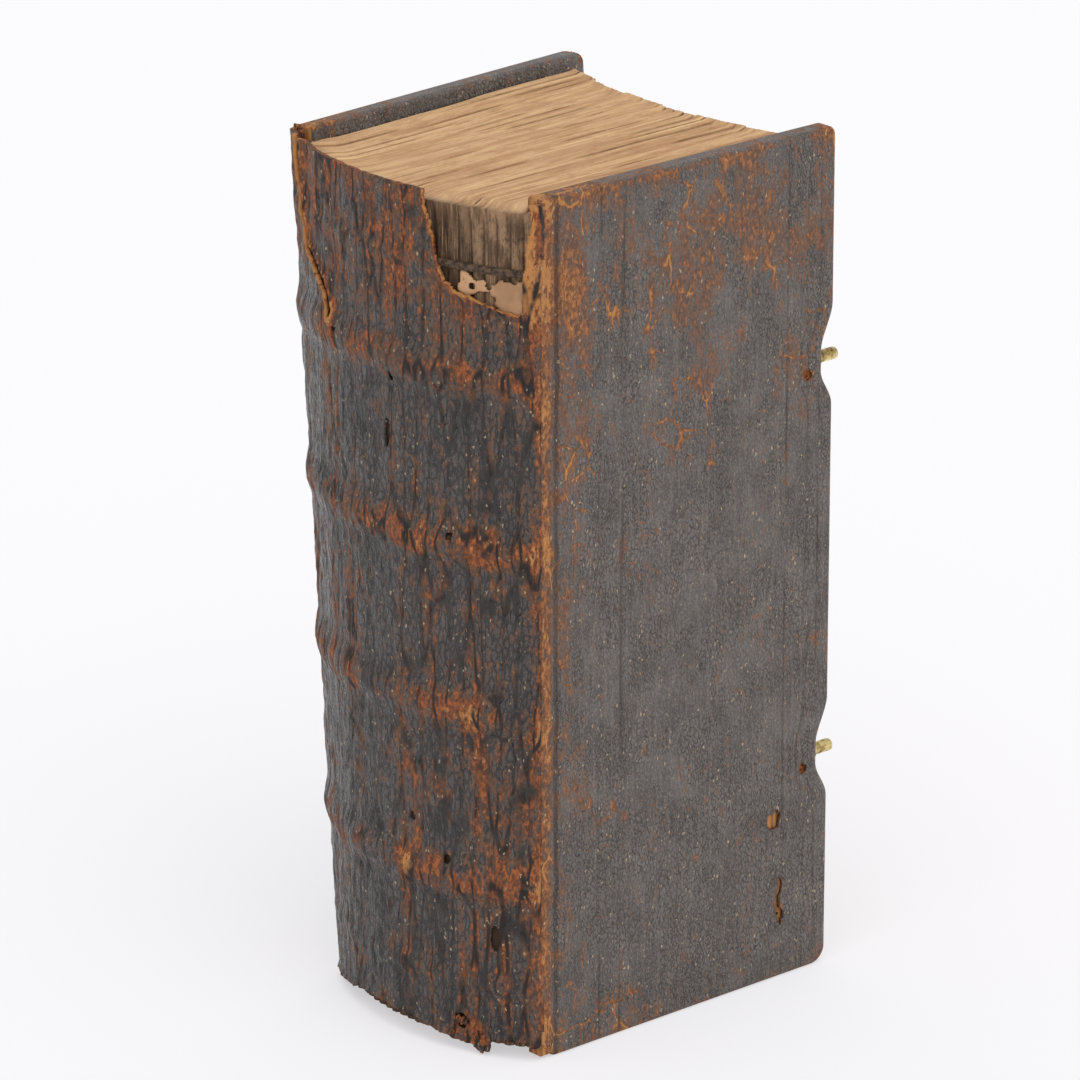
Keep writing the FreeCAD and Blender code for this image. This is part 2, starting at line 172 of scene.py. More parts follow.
world = bpy.data.worlds.new("studio_sky")
world.use_nodes = True
sky = world.node_tree.nodes["Background"]
sky.inputs["Color"].default_value = (1, 1, 1, 1)
rays = world.node_tree.nodes.new("ShaderNodeLightPath")
seen = world.node_tree.nodes.new("ShaderNodeMapRange")
seen.inputs["To Min"].default_value = SKY_STRENGTH
seen.inputs["To Max"].default_value = BACKGROUND_STRENGTH
world.node_tree.links.new(rays.outputs["Is Camera Ray"], seen.inputs["Value"])
world.node_tree.links.new(seen.outputs["Result"], sky.inputs["Strength"])
bpy.context.scene.world = world

key_data = bpy.data.lights.new("key_lamp", "SUN")
key_data.energy = KEY_STRENGTH
key_data.angle = math.radians(KEY_SOFTNESS)
key = bpy.data.objects.new("key_lamp", key_data)
key.rotation_euler = KEY_FROM.to_track_quat("Z", "Y").to_euler()
bpy.context.scene.collection.objects.link(key)

floor_mesh = bpy.data.meshes.new("floor")
sheet = bmesh.new()
bmesh.ops.create_grid(sheet, x_segments=1, y_segments=1, size=FLOOR_HALF)
sheet.to_mesh(floor_mesh)
sheet.free()
floor = bpy.data.objects.new("floor", floor_mesh)
bpy.context.scene.collection.objects.link(floor)
floor_paint = bpy.data.materials.new("pale_floor")
floor_paint.use_nodes = True
floor_nodes = floor_paint.node_tree.nodes
for socket, value in (("Base Color", srgb(247, 246, 248)), ("Roughness", 0.9), ("Specular IOR Level", 0.1)):
    floor_nodes["Principled BSDF"].inputs[socket].default_value = value
plain_white = floor_nodes.new("ShaderNodeEmission")
plain_white.inputs["Color"].default_value = srgb(247, 246, 249)
floor_rays = floor_nodes.new("ShaderNodeLightPath")
half_seen = floor_nodes.new("ShaderNodeMath")
half_seen.operation = "MULTIPLY"
half_seen.inputs[1].default_value = PAPER_WHITE_SHARE
floor_mix = floor_nodes.new("ShaderNodeMixShader")
for outlet, inlet in ((floor_rays.outputs["Is Camera Ray"], half_seen.inputs[0]),
                      (half_seen.outputs[0], floor_mix.inputs[0]),
                      (floor_nodes["Principled BSDF"].outputs[0], floor_mix.inputs[1]),
                      (plain_white.outputs[0], floor_mix.inputs[2]),
                      (floor_mix.outputs[0], floor_nodes["Material Output"].inputs["Surface"])):
    floor_paint.node_tree.links.new(outlet, inlet)
floor_mesh.materials.append(floor_paint)
print("floor and lamp set")

# %% [markdown]
# Small helpers for shaders. A material is a chain of nodes. These helpers add a node, set its
# values and join it to others, so that each material below reads as a short recipe.

# %% Shader helpers


class Recipe:
    """A material under construction, with its principled shader ready."""

    def __init__(self, name):
        self.material = bpy.data.materials.new(name)
        self.material.use_nodes = True
        self.nodes = self.material.node_tree.nodes
        self.links = self.material.node_tree.links
        self.shader = self.nodes["Principled BSDF"]
        self.place = self.add("ShaderNodeTexCoord").outputs["Object"]

    def add(self, kind, settings=(), **inputs):
        node = self.nodes.new(kind)
        for name, value in dict(settings).items():
            setattr(node, name, value)
        for name, value in inputs.items():
            self.feed(node, name.replace("_", " "), value)
        return node

    def feed(self, node, socket, value):
        target = node.inputs[int(socket)] if socket.isdigit() else node.inputs[socket]
        if isinstance(value, bpy.types.NodeSocket):
            self.links.new(value, target)
        else:
            target.default_value = value

    def stretched(self, x, y, z, source=None):
        mapping = self.add("ShaderNodeMapping", Vector=source or self.place, Scale=(x, y, z))
        return mapping.outputs["Vector"]

    def warped(self, vector, scale, amount):
        """Shifts a vector to and fro by noise, so that straight borders wander."""
        tint = self.add("ShaderNodeTexNoise", Vector=vector, Scale=scale, Detail=2.0).outputs["Color"]
        off = self.add("ShaderNodeVectorMath", {"operation": "SUBTRACT"})
        self.feed(off, "0", tint)
        self.feed(off, "1", (0.5, 0.5, 0.5))
        moved = self.add("ShaderNodeVectorMath", {"operation": "MULTIPLY_ADD"})
        self.feed(moved, "0", off.outputs[0])
        self.feed(moved, "1", (amount, amount, amount))
        self.feed(moved, "2", vector)
        return moved.outputs[0]

    def total(self, *parts):
        """Sum of values, each given as (value, weight) and taken about one half."""
        result = None
        for value, weight in parts:
            part = self.math("MULTIPLY", self.math("SUBTRACT", value, 0.5), weight)
            result = part if result is None else self.math("ADD", result, part)
        return result

    def noise(self, vector, scale, detail=3.0, roughness=0.55, distortion=0.0):
        node = self.add("ShaderNodeTexNoise", Vector=vector, Scale=scale, Detail=detail,
                        Roughness=roughness, Distortion=distortion)
        return node.outputs["Fac"]

    def cells(self, vector, scale, feature="F1"):
        """Distance from a cell's middle, or with another feature from its border."""
        node = self.add("ShaderNodeTexVoronoi", {"feature": feature}, Vector=vector, Scale=scale)
        return node.outputs["Distance"]

    def math(self, operation, first, second):
        node = self.add("ShaderNodeMath", {"operation": operation})
        self.feed(node, "0", first)
        self.feed(node, "1", second)
        return node.outputs[0]

    def between(self, value, low, high, start=0.0, end=1.0):
        """Rises smoothly from start to end as value goes from low to high."""
        node = self.add("ShaderNodeMapRange", {"interpolation_type": "SMOOTHSTEP"})
        self.feed(node, "Value", value)
        for socket, number in (("From Min", low), ("From Max", high), ("To Min", start), ("To Max", end)):
            node.inputs[socket].default_value = number
        return node.outputs["Result"]

    def mix(self, share, first, second):
        """Mixes two colours. The sockets are numbered, since the mix node has several of each name."""
        node = self.add("ShaderNodeMix", {"data_type": "RGBA"})
        self.feed(node, "0", share)
        self.feed(node, "6", first)
        self.feed(node, "7", second)
        return node.outputs[2]

    def attribute(self, name):
        return self.add("ShaderNodeAttribute", {"attribute_name": name}).outputs["Fac"]

    def bump(self, height, distance, strength=1.0, under=None):
        node = self.add("ShaderNodeBump", Height=height, Distance=distance, Strength=strength)
        if under is not None:
            self.feed(node, "Normal", under)
        return node.outputs["Normal"]

    def finish(self, color, roughness, normal=None, **settings):
        self.feed(self.shader, "Base Color", color)
        self.feed(self.shader, "Roughness", roughness)
        if normal is not None:
            self.feed(self.shader, "Normal", normal)
        for name, value in settings.items():
            self.feed(self.shader, name.replace("_", " "), value)
        return self.material


print("recipe helper ready")

# %% [markdown]
# Old leather. Intact, it is a dark slate brown with a satin skin. Handling first turns it brown,
# then bares the orange fibre, and last leaves pale threads. One number, the reach of wear, decides
# among the four, so that they always lie in this order, as rings round a rubbed place.
# Each leather mesh carries the attributes worn, which says how far a place is rubbed, and crease,
# which says how deep it lies in a fold. The shader adds noise of several sizes to both.
# Cracks are the borders of a cell pattern stretched upright, since the skin split that way.
# The skin's colour also holds painted highlights: small glints of light, mixed in as a paler colour.
# On the covers, crease darkens the colour too, as painted shade in the tooled grooves.

# %% Leather recipe
SPINE_FILM = (srgb(67, 41, 29), srgb(113, 74, 47))
SPINE_FIBRE = (srgb(94, 50, 27), srgb(162, 90, 42))
COVER_FILM = (srgb(85, 59, 46), srgb(126, 89, 66))
COVER_FIBRE = (srgb(111, 69, 42), srgb(164, 106, 61))
PALE_FIBRE = srgb(186, 128, 70)
CRACK = srgb(26, 18, 14)
DUST = srgb(176, 154, 120)


class Leather(Recipe):
    """Skin, brown film, fibre and cracks, from which both leathers and their torn rims are mixed."""

    def __init__(self, name, dark, light, film, fibre):
        super().__init__(name)
        self.broad = self.noise(self.place, 110, 4)
        self.patchy = self.noise(self.stretched(1, 1, 0.6), 430, 5, 0.65, 0.3)
        self.fine = self.noise(self.stretched(1, 1, 0.6), 1500, 4, 0.65, 0.4)
        self.grain = self.noise(self.stretched(1, 1, 0.5), 4600, 2, 0.6)
        self.skin = self.mix(self.between(self.broad, 0.3, 0.7), dark, light)
        self.film = self.mix(self.between(self.fine, 0.35, 0.65), *film)
        self.fibre = self.mix(self.between(self.fine, 0.38, 0.66), *fibre)
        self.ragged = self.total((self.broad, 0.65), (self.patchy, 1.35), (self.fine, 0.95))

    def aged(self, reach):
        """Skin, film, fibre and pale threads, in the order of wear."""
        color = self.mix(self.between(reach, 0.3, 0.46, 0.0, 0.9), self.skin, self.film)
        color = self.mix(self.between(reach, 0.54, 0.74), color, self.fibre)
        color = self.mix(self.between(reach, 0.9, 1.1, 0.0, 0.8), color, PALE_FIBRE)
        return color

    def dusted(self, color, amount):
        """Small pale specks of dust and grit that lie in the grain."""
        vector = self.stretched(1, 1, 0.6)
        size = self.between(self.grain, 0.35, 0.65, 0.06, 0.27)
        near = self.math("LESS_THAN", self.cells(vector, 1000), size)
        chosen = self.between(self.noise(self.place, 340, 3, 0.7), 0.5, 0.6, 0.0, amount)
        return self.mix(self.math("MULTIPLY", near, chosen), color, DUST)


def spine_leather():
    """Plates of skin two or three millimetres wide, cracked apart along upright lines."""
    recipe = Leather("spine_leather_worn", srgb(41, 37, 36), srgb(68, 64, 63), SPINE_FILM, SPINE_FIBRE)
    browned = recipe.between(recipe.patchy, 0.4, 0.65, 0.0, 0.6)
    # Painted highlight: glints of light, mixed into the skin as a paler colour where the grain noise is high.
    painted_glint = recipe.between(recipe.grain, 0.4, 0.7, 0.0, 0.5)
    plates = recipe.warped(recipe.stretched(1, 1, 0.13), 260, 2.4 * MM)
    edge = recipe.cells(plates, 300, "DISTANCE_TO_EDGE")
    slivers = recipe.warped(recipe.stretched(1, 1, 0.42), 620, 1.0 * MM)
    small_edge = recipe.cells(slivers, 950, "DISTANCE_TO_EDGE")
    streak = recipe.noise(recipe.stretched(1, 1, 0.06), 300, 3, 0.6, 0.3)
    recipe.skin = recipe.mix(browned, recipe.skin, srgb(58, 49, 45))
    recipe.skin = recipe.mix(painted_glint, recipe.skin, srgb(108, 98, 93))
    recipe.skin = recipe.mix(recipe.between(small_edge, 0.0, 0.2, 0.95, 0.0), recipe.skin, srgb(28, 22, 20))
    streaks = recipe.between(streak, 0.52, 0.66, 0.0, 0.3)
    rim = recipe.between(edge, 0.05, 0.22, 0.13, 0.0)
    reach = recipe.math("ADD", recipe.attribute("worn"), recipe.ragged)
    reach = recipe.math("ADD", reach, recipe.math("ADD", streaks, rim))
    reach = recipe.math("ADD", reach, recipe.math("MULTIPLY", recipe.attribute("crease"), 0.12))
    color = recipe.aged(reach)
    crack = recipe.between(edge, 0.02, 0.11, 1.0, 0.0)
    open_crack = recipe.between(recipe.noise(recipe.place, 200, 2), 0.38, 0.52, 0.3, 1.0)
    color = recipe.mix(recipe.math("MULTIPLY", crack, open_crack), color, CRACK)
    color = recipe.dusted(color, 0.8)
    rough = recipe.math("ADD", recipe.between(reach, 0.3, 0.7, 0.27, 0.78), recipe.total((recipe.fine, 0.3)))
    pillow = recipe.between(edge, 0.0, 0.22)
    small_pillow = recipe.between(small_edge, 0.0, 0.25)
    normal = recipe.bump(pillow, 0.28 * MM, 1.0)
    normal = recipe.bump(small_pillow, 0.14 * MM, 1.0, normal)
    normal = recipe.bump(recipe.math("ADD", recipe.fine, recipe.math("MULTIPLY", recipe.grain, 0.5)),
                         0.16 * MM, 1.0, normal)
    return recipe.finish(color, rough, normal)


def cover_leather():
    """Finely pebbled skin with thin branching cracks, where the tooled faces were rubbed flat."""
    recipe = Leather("cover_leather_worn", srgb(64, 60, 58), srgb(98, 92, 89), COVER_FILM, COVER_FIBRE)
    pebbles = recipe.warped(recipe.stretched(1, 1, 0.6), 500, 0.5 * MM)
    pebble = recipe.cells(pebbles, 1350, "DISTANCE_TO_EDGE")
    upright = recipe.noise(recipe.stretched(1, 1, 0.08), 1100, 3, 0.6)
    wandering = recipe.warped(recipe.stretched(1, 1, 0.8), 160, 5 * MM)
    branches = recipe.cells(wandering, 130, "DISTANCE_TO_EDGE")
    branch = recipe.between(branches, 0.0, 0.045, 1.0, 0.0)
    shown = recipe.between(recipe.noise(recipe.place, 75, 3, 0.6), 0.5, 0.62)
    pebbled = recipe.between(recipe.noise(recipe.place, 95, 3, 0.6), 0.4, 0.58, 0.25, 0.95)
    seams = recipe.math("MULTIPLY", recipe.between(pebble, 0.02, 0.16, 1.0, 0.0), pebbled)
    recipe.skin = recipe.mix(seams, recipe.skin, srgb(38, 31, 29))
    veins = recipe.cells(recipe.warped(recipe.stretched(1, 1, 0.5), 420, 2.2 * MM), 210, "DISTANCE_TO_EDGE")
    vein = recipe.between(veins, 0.0, 0.04, 1.0, 0.0)
    vein_shown = recipe.between(recipe.noise(recipe.place, 190, 3, 0.6), 0.53, 0.63)
    brushed = recipe.between(upright, 0.48, 0.66, 0.0, 0.3)
    # Painted highlight: glints of light, mixed into the skin as a paler colour where the grain noise is high.
    painted_glint = recipe.between(recipe.grain, 0.45, 0.68, 0.0, 0.6)
    recipe.skin = recipe.mix(brushed, recipe.skin, srgb(122, 110, 103))
    recipe.skin = recipe.mix(painted_glint, recipe.skin, srgb(134, 122, 112))
    worn = recipe.attribute("worn")
    reach = recipe.math("ADD", worn, recipe.ragged)
    reach = recipe.math("ADD", reach, recipe.total((upright, 0.6)))
    lines = recipe.math("MULTIPLY", recipe.math("MULTIPLY", branch, shown), recipe.between(worn, 0.0, 0.25))
    fine_lines = recipe.math("MULTIPLY", vein, vein_shown)
    reach = recipe.math("ADD", reach, recipe.math("MULTIPLY", lines, 0.75))
    reach = recipe.math("ADD", reach, recipe.math("MULTIPLY", fine_lines, 0.42))
    color = recipe.aged(reach)
    # Painted shade: the tooled grooves and the joint groove are darkened by how deep they lie.
    painted_groove_shade = recipe.math("MULTIPLY", recipe.between(recipe.attribute("crease"), 0.2, 0.9), 0.6)
    color = recipe.mix(painted_groove_shade, color, srgb(40, 30, 26))
    color = recipe.dusted(color, 1.0)
    rough = recipe.math("ADD", recipe.between(reach, 0.3, 0.7, 0.42, 0.78), recipe.total((recipe.fine, 0.25)))
    normal = recipe.bump(recipe.between(pebble, 0.0, 0.2), 0.12 * MM, 1.0)
    rough_grain = recipe.math("ADD", recipe.fine, recipe.math("MULTIPLY", upright, 0.7))
    normal = recipe.bump(rough_grain, 0.14 * MM, 1.0, normal)
    return recipe.finish(color, rough, normal)


spine_skin = spine_leather()
cover_skin = cover_leather()
print("leather", spine_skin.name, cover_skin.name)

# %% [markdown]
# A rim shows the leather's flesh. Where it tore, it is bright fibre. Where the binder turned or cut
# it, handling has darkened it again, so the rim reads the same attribute worn as the face.

# %% Rim of the leather


def raw_leather():
    recipe = Leather("raw_leather", srgb(40, 36, 35), srgb(70, 64, 60), SPINE_FILM, SPINE_FIBRE)
    reach = recipe.math("ADD", recipe.math("MULTIPLY", recipe.attribute("worn"), 1.5), recipe.ragged)
    color = recipe.aged(recipe.math("ADD", reach, -0.02))
    return recipe.finish(color, 0.8, recipe.bump(recipe.fine, 0.25 * MM, 1.0))


raw_skin = raw_leather()
print("rim", raw_skin.name)

# %% [markdown]
# Old paper. The leaf edges are toned tan, with streaks that follow the leaves, so the block carries
# an attribute called leaf, which counts through its thickness. On the spine side the folds are
# soaked with old glue and much darker: the attribute glue says where. The slits between sections
# are darkened with painted shade, by the attribute slit.

# %% Paper recipes


def leaf_edges():
    recipe = Recipe("leaf_edges")
    parts = recipe.add("ShaderNodeSeparateXYZ", Vector=recipe.place)
    across = recipe.math("MULTIPLY", recipe.attribute("leaf"), 0.06)
    vector = recipe.add("ShaderNodeCombineXYZ")
    recipe.feed(vector, "X", across)
    recipe.feed(vector, "Y", parts.outputs["Y"])
    recipe.feed(vector, "Z", parts.outputs["Z"])
    leaves = vector.outputs["Vector"]
    streak = recipe.noise(recipe.stretched(1, 0.03, 0.03, leaves), 3600, 4, 0.8)
    band = recipe.noise(recipe.stretched(1, 0.06, 0.06, leaves), 480, 3, 0.6)
    mottle = recipe.noise(recipe.stretched(1, 0.4, 0.4, leaves), 420, 4, 0.65)
    fibre = recipe.noise(recipe.stretched(1, 0.5, 0.5, leaves), 2600, 3, 0.7)
    bright = recipe.noise(recipe.stretched(1, 0.012, 0.012, leaves), 900, 2, 0.5)
    color = recipe.mix(recipe.between(band, 0.35, 0.65), srgb(180, 138, 98), srgb(206, 168, 124))
    color = recipe.mix(recipe.between(streak, 0.5, 0.68, 0.0, 0.5), color, srgb(230, 196, 148))
    color = recipe.mix(recipe.between(streak, 0.48, 0.32, 0.0, 0.7), color, srgb(140, 100, 68))
    color = recipe.mix(recipe.between(bright, 0.64, 0.7, 0.0, 0.55), color, srgb(242, 208, 152))
    color = recipe.mix(recipe.between(mottle, 0.48, 0.7, 0.0, 0.5), color, srgb(164, 120, 84))
    color = recipe.mix(recipe.between(fibre, 0.58, 0.76, 0.0, 0.45), color, srgb(112, 78, 52))
    glue = recipe.attribute("glue")
    shade = recipe.between(recipe.attribute("leaf"), 0.3, 0.12)
    stain = recipe.mix(shade, srgb(74, 52, 34), srgb(146, 116, 88))
    stain = recipe.mix(recipe.between(mottle, 0.42, 0.6, 0.0, 0.75), stain, srgb(48, 32, 20))
    stain = recipe.mix(recipe.between(streak, 0.5, 0.68, 0.0, 0.7), stain, srgb(172, 138, 102))
    stain = recipe.mix(recipe.between(fibre, 0.55, 0.72, 0.0, 0.8), stain, srgb(38, 26, 18))
    color = recipe.mix(glue, color, stain)
    # Painted shade: the slits between sections are darkened by how far they open.
    slit = recipe.attribute("slit")
    color = recipe.mix(slit, color, srgb(62, 40, 25))
    height = recipe.math("ADD", streak, recipe.math("MULTIPLY", fibre, 0.5))
    return recipe.finish(color, 0.9, recipe.bump(height, 0.12 * MM, 1.0))


def plain_paper(name, light, dark):
    recipe = Recipe(name)
    broad = recipe.noise(recipe.place, 60, 4)
    spots = recipe.noise(recipe.place, 600, 4, 0.7)
    color = recipe.mix(recipe.between(broad, 0.35, 0.65), dark, light)
    color = recipe.mix(recipe.between(spots, 0.62, 0.75, 0.0, 0.6), color, srgb(132, 92, 56))
    return recipe.finish(color, 0.9, recipe.bump(spots, 0.06 * MM, 0.8))


block_paper = leaf_edges()
lining_paper = plain_paper("lining_paper_aged", srgb(196, 154, 116), srgb(132, 96, 68))
glued_paper = plain_paper("lining_paper_glued", srgb(70, 48, 32), srgb(36, 25, 18))
pastedown_paper = plain_paper("pastedown_paper_aged", srgb(214, 192, 156), srgb(188, 160, 120))
print("papers", block_paper.name, lining_paper.name, pastedown_paper.name)

# %% [markdown]
# The plain materials of the bench: split wood for the boards, flax for cords and thread, tarnished
# brass for the pins and rust for the nails.

# %% Wood, flax, brass and iron


def board_wood():
    recipe = Recipe("board_wood_planed")
    grain = recipe.noise(recipe.stretched(1, 1, 0.04), 900, 4, 0.6, 0.6)
    pores = recipe.noise(recipe.stretched(1, 1, 0.12), 3200, 3)
    color = recipe.mix(recipe.between(grain, 0.35, 0.65), srgb(122, 78, 40), srgb(186, 130, 72))
    color = recipe.mix(recipe.between(pores, 0.58, 0.72, 0.0, 0.6), color, srgb(78, 46, 24))
    return recipe.finish(color, 0.75, recipe.bump(grain, 0.12 * MM, 0.8))


def flax():
    recipe = Recipe("flax_twisted")
    twist = recipe.noise(recipe.stretched(1, 0.4, 1), 1500, 3, 0.6)
    color = recipe.mix(recipe.between(twist, 0.35, 0.65), srgb(42, 32, 26), srgb(96, 74, 56))
    return recipe.finish(color, 0.9, recipe.bump(twist, 0.2 * MM, 1.0))


def old_brass():
    recipe = Recipe("brass_tarnished")
    broad = recipe.noise(recipe.place, 500, 4)
    scratch = recipe.noise(recipe.stretched(1, 0.1, 1), 4000, 3, 0.6)
    color = recipe.mix(recipe.between(broad, 0.35, 0.6), srgb(120, 96, 52), srgb(226, 204, 142))
    color = recipe.mix(recipe.between(scratch, 0.56, 0.7, 0.0, 0.6), color, srgb(92, 66, 30))
    rough = recipe.between(broad, 0.3, 0.7, 0.42, 0.22)
    return recipe.finish(color, rough, recipe.bump(scratch, 0.05 * MM, 1.0), Metallic=1.0)


def rust():
    recipe = Recipe("iron_rusted")
    crust = recipe.noise(recipe.place, 1800, 4, 0.7)
    color = recipe.mix(recipe.between(crust, 0.35, 0.65), srgb(92, 40, 18), srgb(196, 104, 50))
    return recipe.finish(color, 0.85, recipe.bump(crust, 0.2 * MM, 1.0))


wood = board_wood()
flax_cord = flax()
brass = old_brass()
iron = rust()
for node, material in (("board", wood), ("slip", flax_cord), ("cord", flax_cord), ("thread", flax_cord),
                       ("lining", glued_paper), ("pastedown", pastedown_paper), ("nail", iron)):
    for name, piece in frame["nodes"].items():
        if node in name:
            piece.data.materials.clear()
            piece.data.materials.append(material)
print("bench materials set")

# %% [markdown]
# Making a piece. Each soft piece starts as a flat grid from the grid operator. Its points are then
# moved onto the form by a function, as a sculptor presses a sheet over a mould.
# Torn places are outlines on the sheet. A point near an outline is pulled onto it, and what lies
# inside is deleted, so that the torn rim is smooth at the scale of the grid and ragged above it.

# %% Torn outlines


class Tear:
    """A closed outline on a sheet. Its distance is negative inside, with a ragged rim."""

    def __init__(self, points, ragged=0.0, seed=0.0):
        self.points = [Vector(p) * MM for p in points]
        self.ragged = ragged * MM
        self.seed = seed
        self.low = Vector((min(p.x for p in self.points), min(p.y for p in self.points)))
        self.high = Vector((max(p.x for p in self.points), max(p.y for p in self.points)))

    def distance(self, s, z):
        margin = 4 * MM
        outside = max(self.low.x - s, s - self.high.x, self.low.y - z, z - self.high.y)
        if outside > margin:
            return margin
        here = Vector((s, z))
        inside = False
        nearest = 1.0
        previous = self.points[-1]
        for point in self.points:
            edge = point - previous
            share = max(0.0, min(1.0, (here - previous).dot(edge) / max(edge.length_squared, 1e-12)))
            nearest = min(nearest, (here - previous - edge * share).length)
            if (previous.y > z) != (point.y > z):
                crossing = previous.x + (z - previous.y) / (point.y - previous.y) * (point.x - previous.x)
                if s < crossing:
                    inside = not inside
            previous = point
        signed = -nearest if inside else nearest
        if self.ragged:
            signed += self.ragged * noise.noise(Vector((s, z, self.seed * MM)) * 900)
        return min(signed, margin)


class Oval(Tear):
    """A hole with a width and a height, and an uneven rim as a worm leaves it."""

    def __init__(self, s, z, width, height):
        self.centre = Vector((s, z)) * MM
        self.half = Vector((width, height)) * MM / 2

    def distance(self, s, z):
        off = Vector((s, z)) - self.centre
        reach = Vector((off.x / self.half.x, off.y / self.half.y)).length
        reach += 0.3 * noise.noise(Vector((s, z, 0)) * 1400)
        return min((reach - 1) * min(self.half), 4 * MM)


def nearest_tear(tears, s, z):
    return min(tear.distance(s, z) for tear in tears)


def pulled_to_rim(tears, s, z, reach):
    """The place of a sheet point after it is pulled onto a rim that it lies near."""
    gap = nearest_tear(tears, s, z)
    if abs(gap) > reach:
        return s, z, gap
    step = 0.05 * MM
    slope = Vector((nearest_tear(tears, s + step, z) - nearest_tear(tears, s - step, z),
                    nearest_tear(tears, s, z + step) - nearest_tear(tears, s, z - step))) / (2 * step)
    if slope.length < 0.3:
        return s, z, gap
    slope.normalize()
    return s - slope.x * gap, z - slope.y * gap, 0.0


def cut_out(form, gaps):
    """Deletes what lies inside the outlines, by the attribute that holds each point's distance."""
    lost = [face for face in form.faces if sum(v[gaps] for v in face.verts) < -0.02 * MM]
    bmesh.ops.delete(form, geom=lost, context="FACES")
    bmesh.ops.delete(form, geom=[v for v in form.verts if not v.link_faces], context="VERTS")


print("helpers for torn places ready")

# %% [markdown]
# From a form to a piece. A bmesh becomes an object at the origin, with its place in its mesh. A
# sheet then gets its thickness from the Solidify modifier, inwards, so that its outer face stays
# where it was laid. The back and the rim take the second material, the bare flesh of the leather.
# Two small curves, a smooth rise and a hump, shape nearly all the wear and relief below.

# %% Pieces and curves


def finish_piece(name, form, materials, smooth=True):
    """Turns a bmesh into a named object at the origin."""
    mesh = bpy.data.meshes.new(name)
    form.to_mesh(mesh)
    form.free()
    for material in materials:
        mesh.materials.append(material)
    mesh.polygons.foreach_set("use_smooth", [smooth] * len(mesh.polygons))
    piece = bpy.data.objects.new(name, mesh)
    bpy.context.scene.collection.objects.link(piece)
    return piece


def thicken(piece, thickness):
    """Gives a sheet its thickness inwards, with the second material on its back and rim."""
    solid = piece.modifiers.new("thickness", "SOLIDIFY")
    solid.thickness = thickness
    solid.offset = -1.0
    solid.material_offset = 1
    solid.material_offset_rim = 1


def smooth_rise(value, low, high):
    t = max(0.0, min(1.0, (value - low) / (high - low)))
    return t * t * (3 - 2 * t)


def hump(value, centre, half):
    """Rounded bump of height one that falls to zero at half on each side."""
    t = abs(value - centre) / half
    return 0.0 if t >= 1 else (1 - t * t) ** 2


print("helpers for pieces ready")

# %% [markdown]
# The book block. Its leaves can't be made one by one, and a block with painted lines looks like a
# brick. Between the two lies a fan: a grid whose columns are leaves, wrapped round the spine, head,
# fore edge and tail, with each column a little out of step with its neighbours. The columns lie in
# sections of about fifteen, and between some sections there is a slit. Two more grids, laid on the
# outermost leaves, close the sides, which show when the covers are open.

# %% Book block form
SPINE_ROUND = 8.6 * MM
FORE_HOLLOW = 4.5 * MM
SHOULDER_INSET = 1.0 * MM
SHOULDER_Y = -0.35 * MM
BLOCK_SIDE = COVER_THICKNESS + 0.5 * MM
BLOCK_FORE = BOARD_DEPTH - 3.8 * MM
FORE_GROUPS = ((0.13, 0.3), (0.3, -0.4), (0.47, 0.25), (0.62, -0.35), (0.8, 0.3), (1.0, -0.3))
LEAF_COLUMNS = 380
SECTIONS = 26
UPRIGHT_ROWS, LEVEL_ROWS = 50, 42
SPINE_ROWS, HEAD_ROWS, FORE_ROWS, TAIL_ROWS = UPRIGHT_ROWS, LEVEL_ROWS, UPRIGHT_ROWS, LEVEL_ROWS
BLOCK_ROWS = SPINE_ROWS + HEAD_ROWS + FORE_ROWS + TAIL_ROWS


class SpineArc:
    """The round of the block's spine at one height, as an arc between the joints."""

    def __init__(self, z):
        front = cover_at_height("front", SHOULDER_INSET, SHOULDER_Y, z)
        back = cover_at_height("back", SHOULDER_INSET, SHOULDER_Y, z)
        chord = back - front
        half = chord.length / 2
        self.radius = (half * half + SPINE_ROUND * SPINE_ROUND) / (2 * SPINE_ROUND)
        outward = Vector((-chord.y, chord.x, 0)).normalized()
        if outward.y > 0:
            outward.negate()
        self.centre = (front + back) / 2 - outward * (self.radius - SPINE_ROUND)
        self.front_angle = math.atan2(front.y - self.centre.y, front.x - self.centre.x)
        self.back_angle = math.atan2(back.y - self.centre.y, back.x - self.centre.x)
        if self.back_angle > 0:
            self.back_angle -= 2 * math.pi

    def at(self, share, offset):
        return self.along(self.front_angle + share * (self.back_angle - self.front_angle), offset)

    def along(self, angle, offset):
        reach = self.radius + offset
        return self.centre + Vector((math.cos(angle) * reach, math.sin(angle) * reach, 0))


print("round of the spine", round(SpineArc(BLOCK_TAIL).radius / MM, 1), "mm radius at the tail")

# %% [markdown]
# Where each leaf goes. A place on the block is given by its column, which runs from 0 at the front
# board to 1 at the back board, and by a run, which counts the rows from the tail up the spine, along
# the head, down the fore edge and back along the tail. Each leaf stands a little out of line, as a
# whole, with its section and in broad waves.

# %% Places of the leaves


def leaf_step(column, where, seed):
    """How far a leaf stands out of line at a place along its edge."""
    section = int(column * SECTIONS)
    own = noise.noise(Vector((column * LEAF_COLUMNS * 0.47, where * 9, seed)))
    gathered = noise.noise(Vector((section * 3.7, where * 16, seed + 5)))
    broad = noise.noise(Vector((column * 5, where * 30, seed + 9)))
    return (0.16 * own + 0.28 * gathered + 0.25 * broad) * MM


def slit_depth(column, where):
    """Narrow gaps between some sections, open over part of their length."""
    edge = abs(column * SECTIONS - round(column * SECTIONS))
    which = round(column * SECTIONS)
    open_here = noise.noise(Vector((which * 5.3, where * 45, 2.0))) + 0.15
    return smooth_rise(open_here, 0.15, 0.5) * smooth_rise(0.16 - edge, 0.0, 0.14)


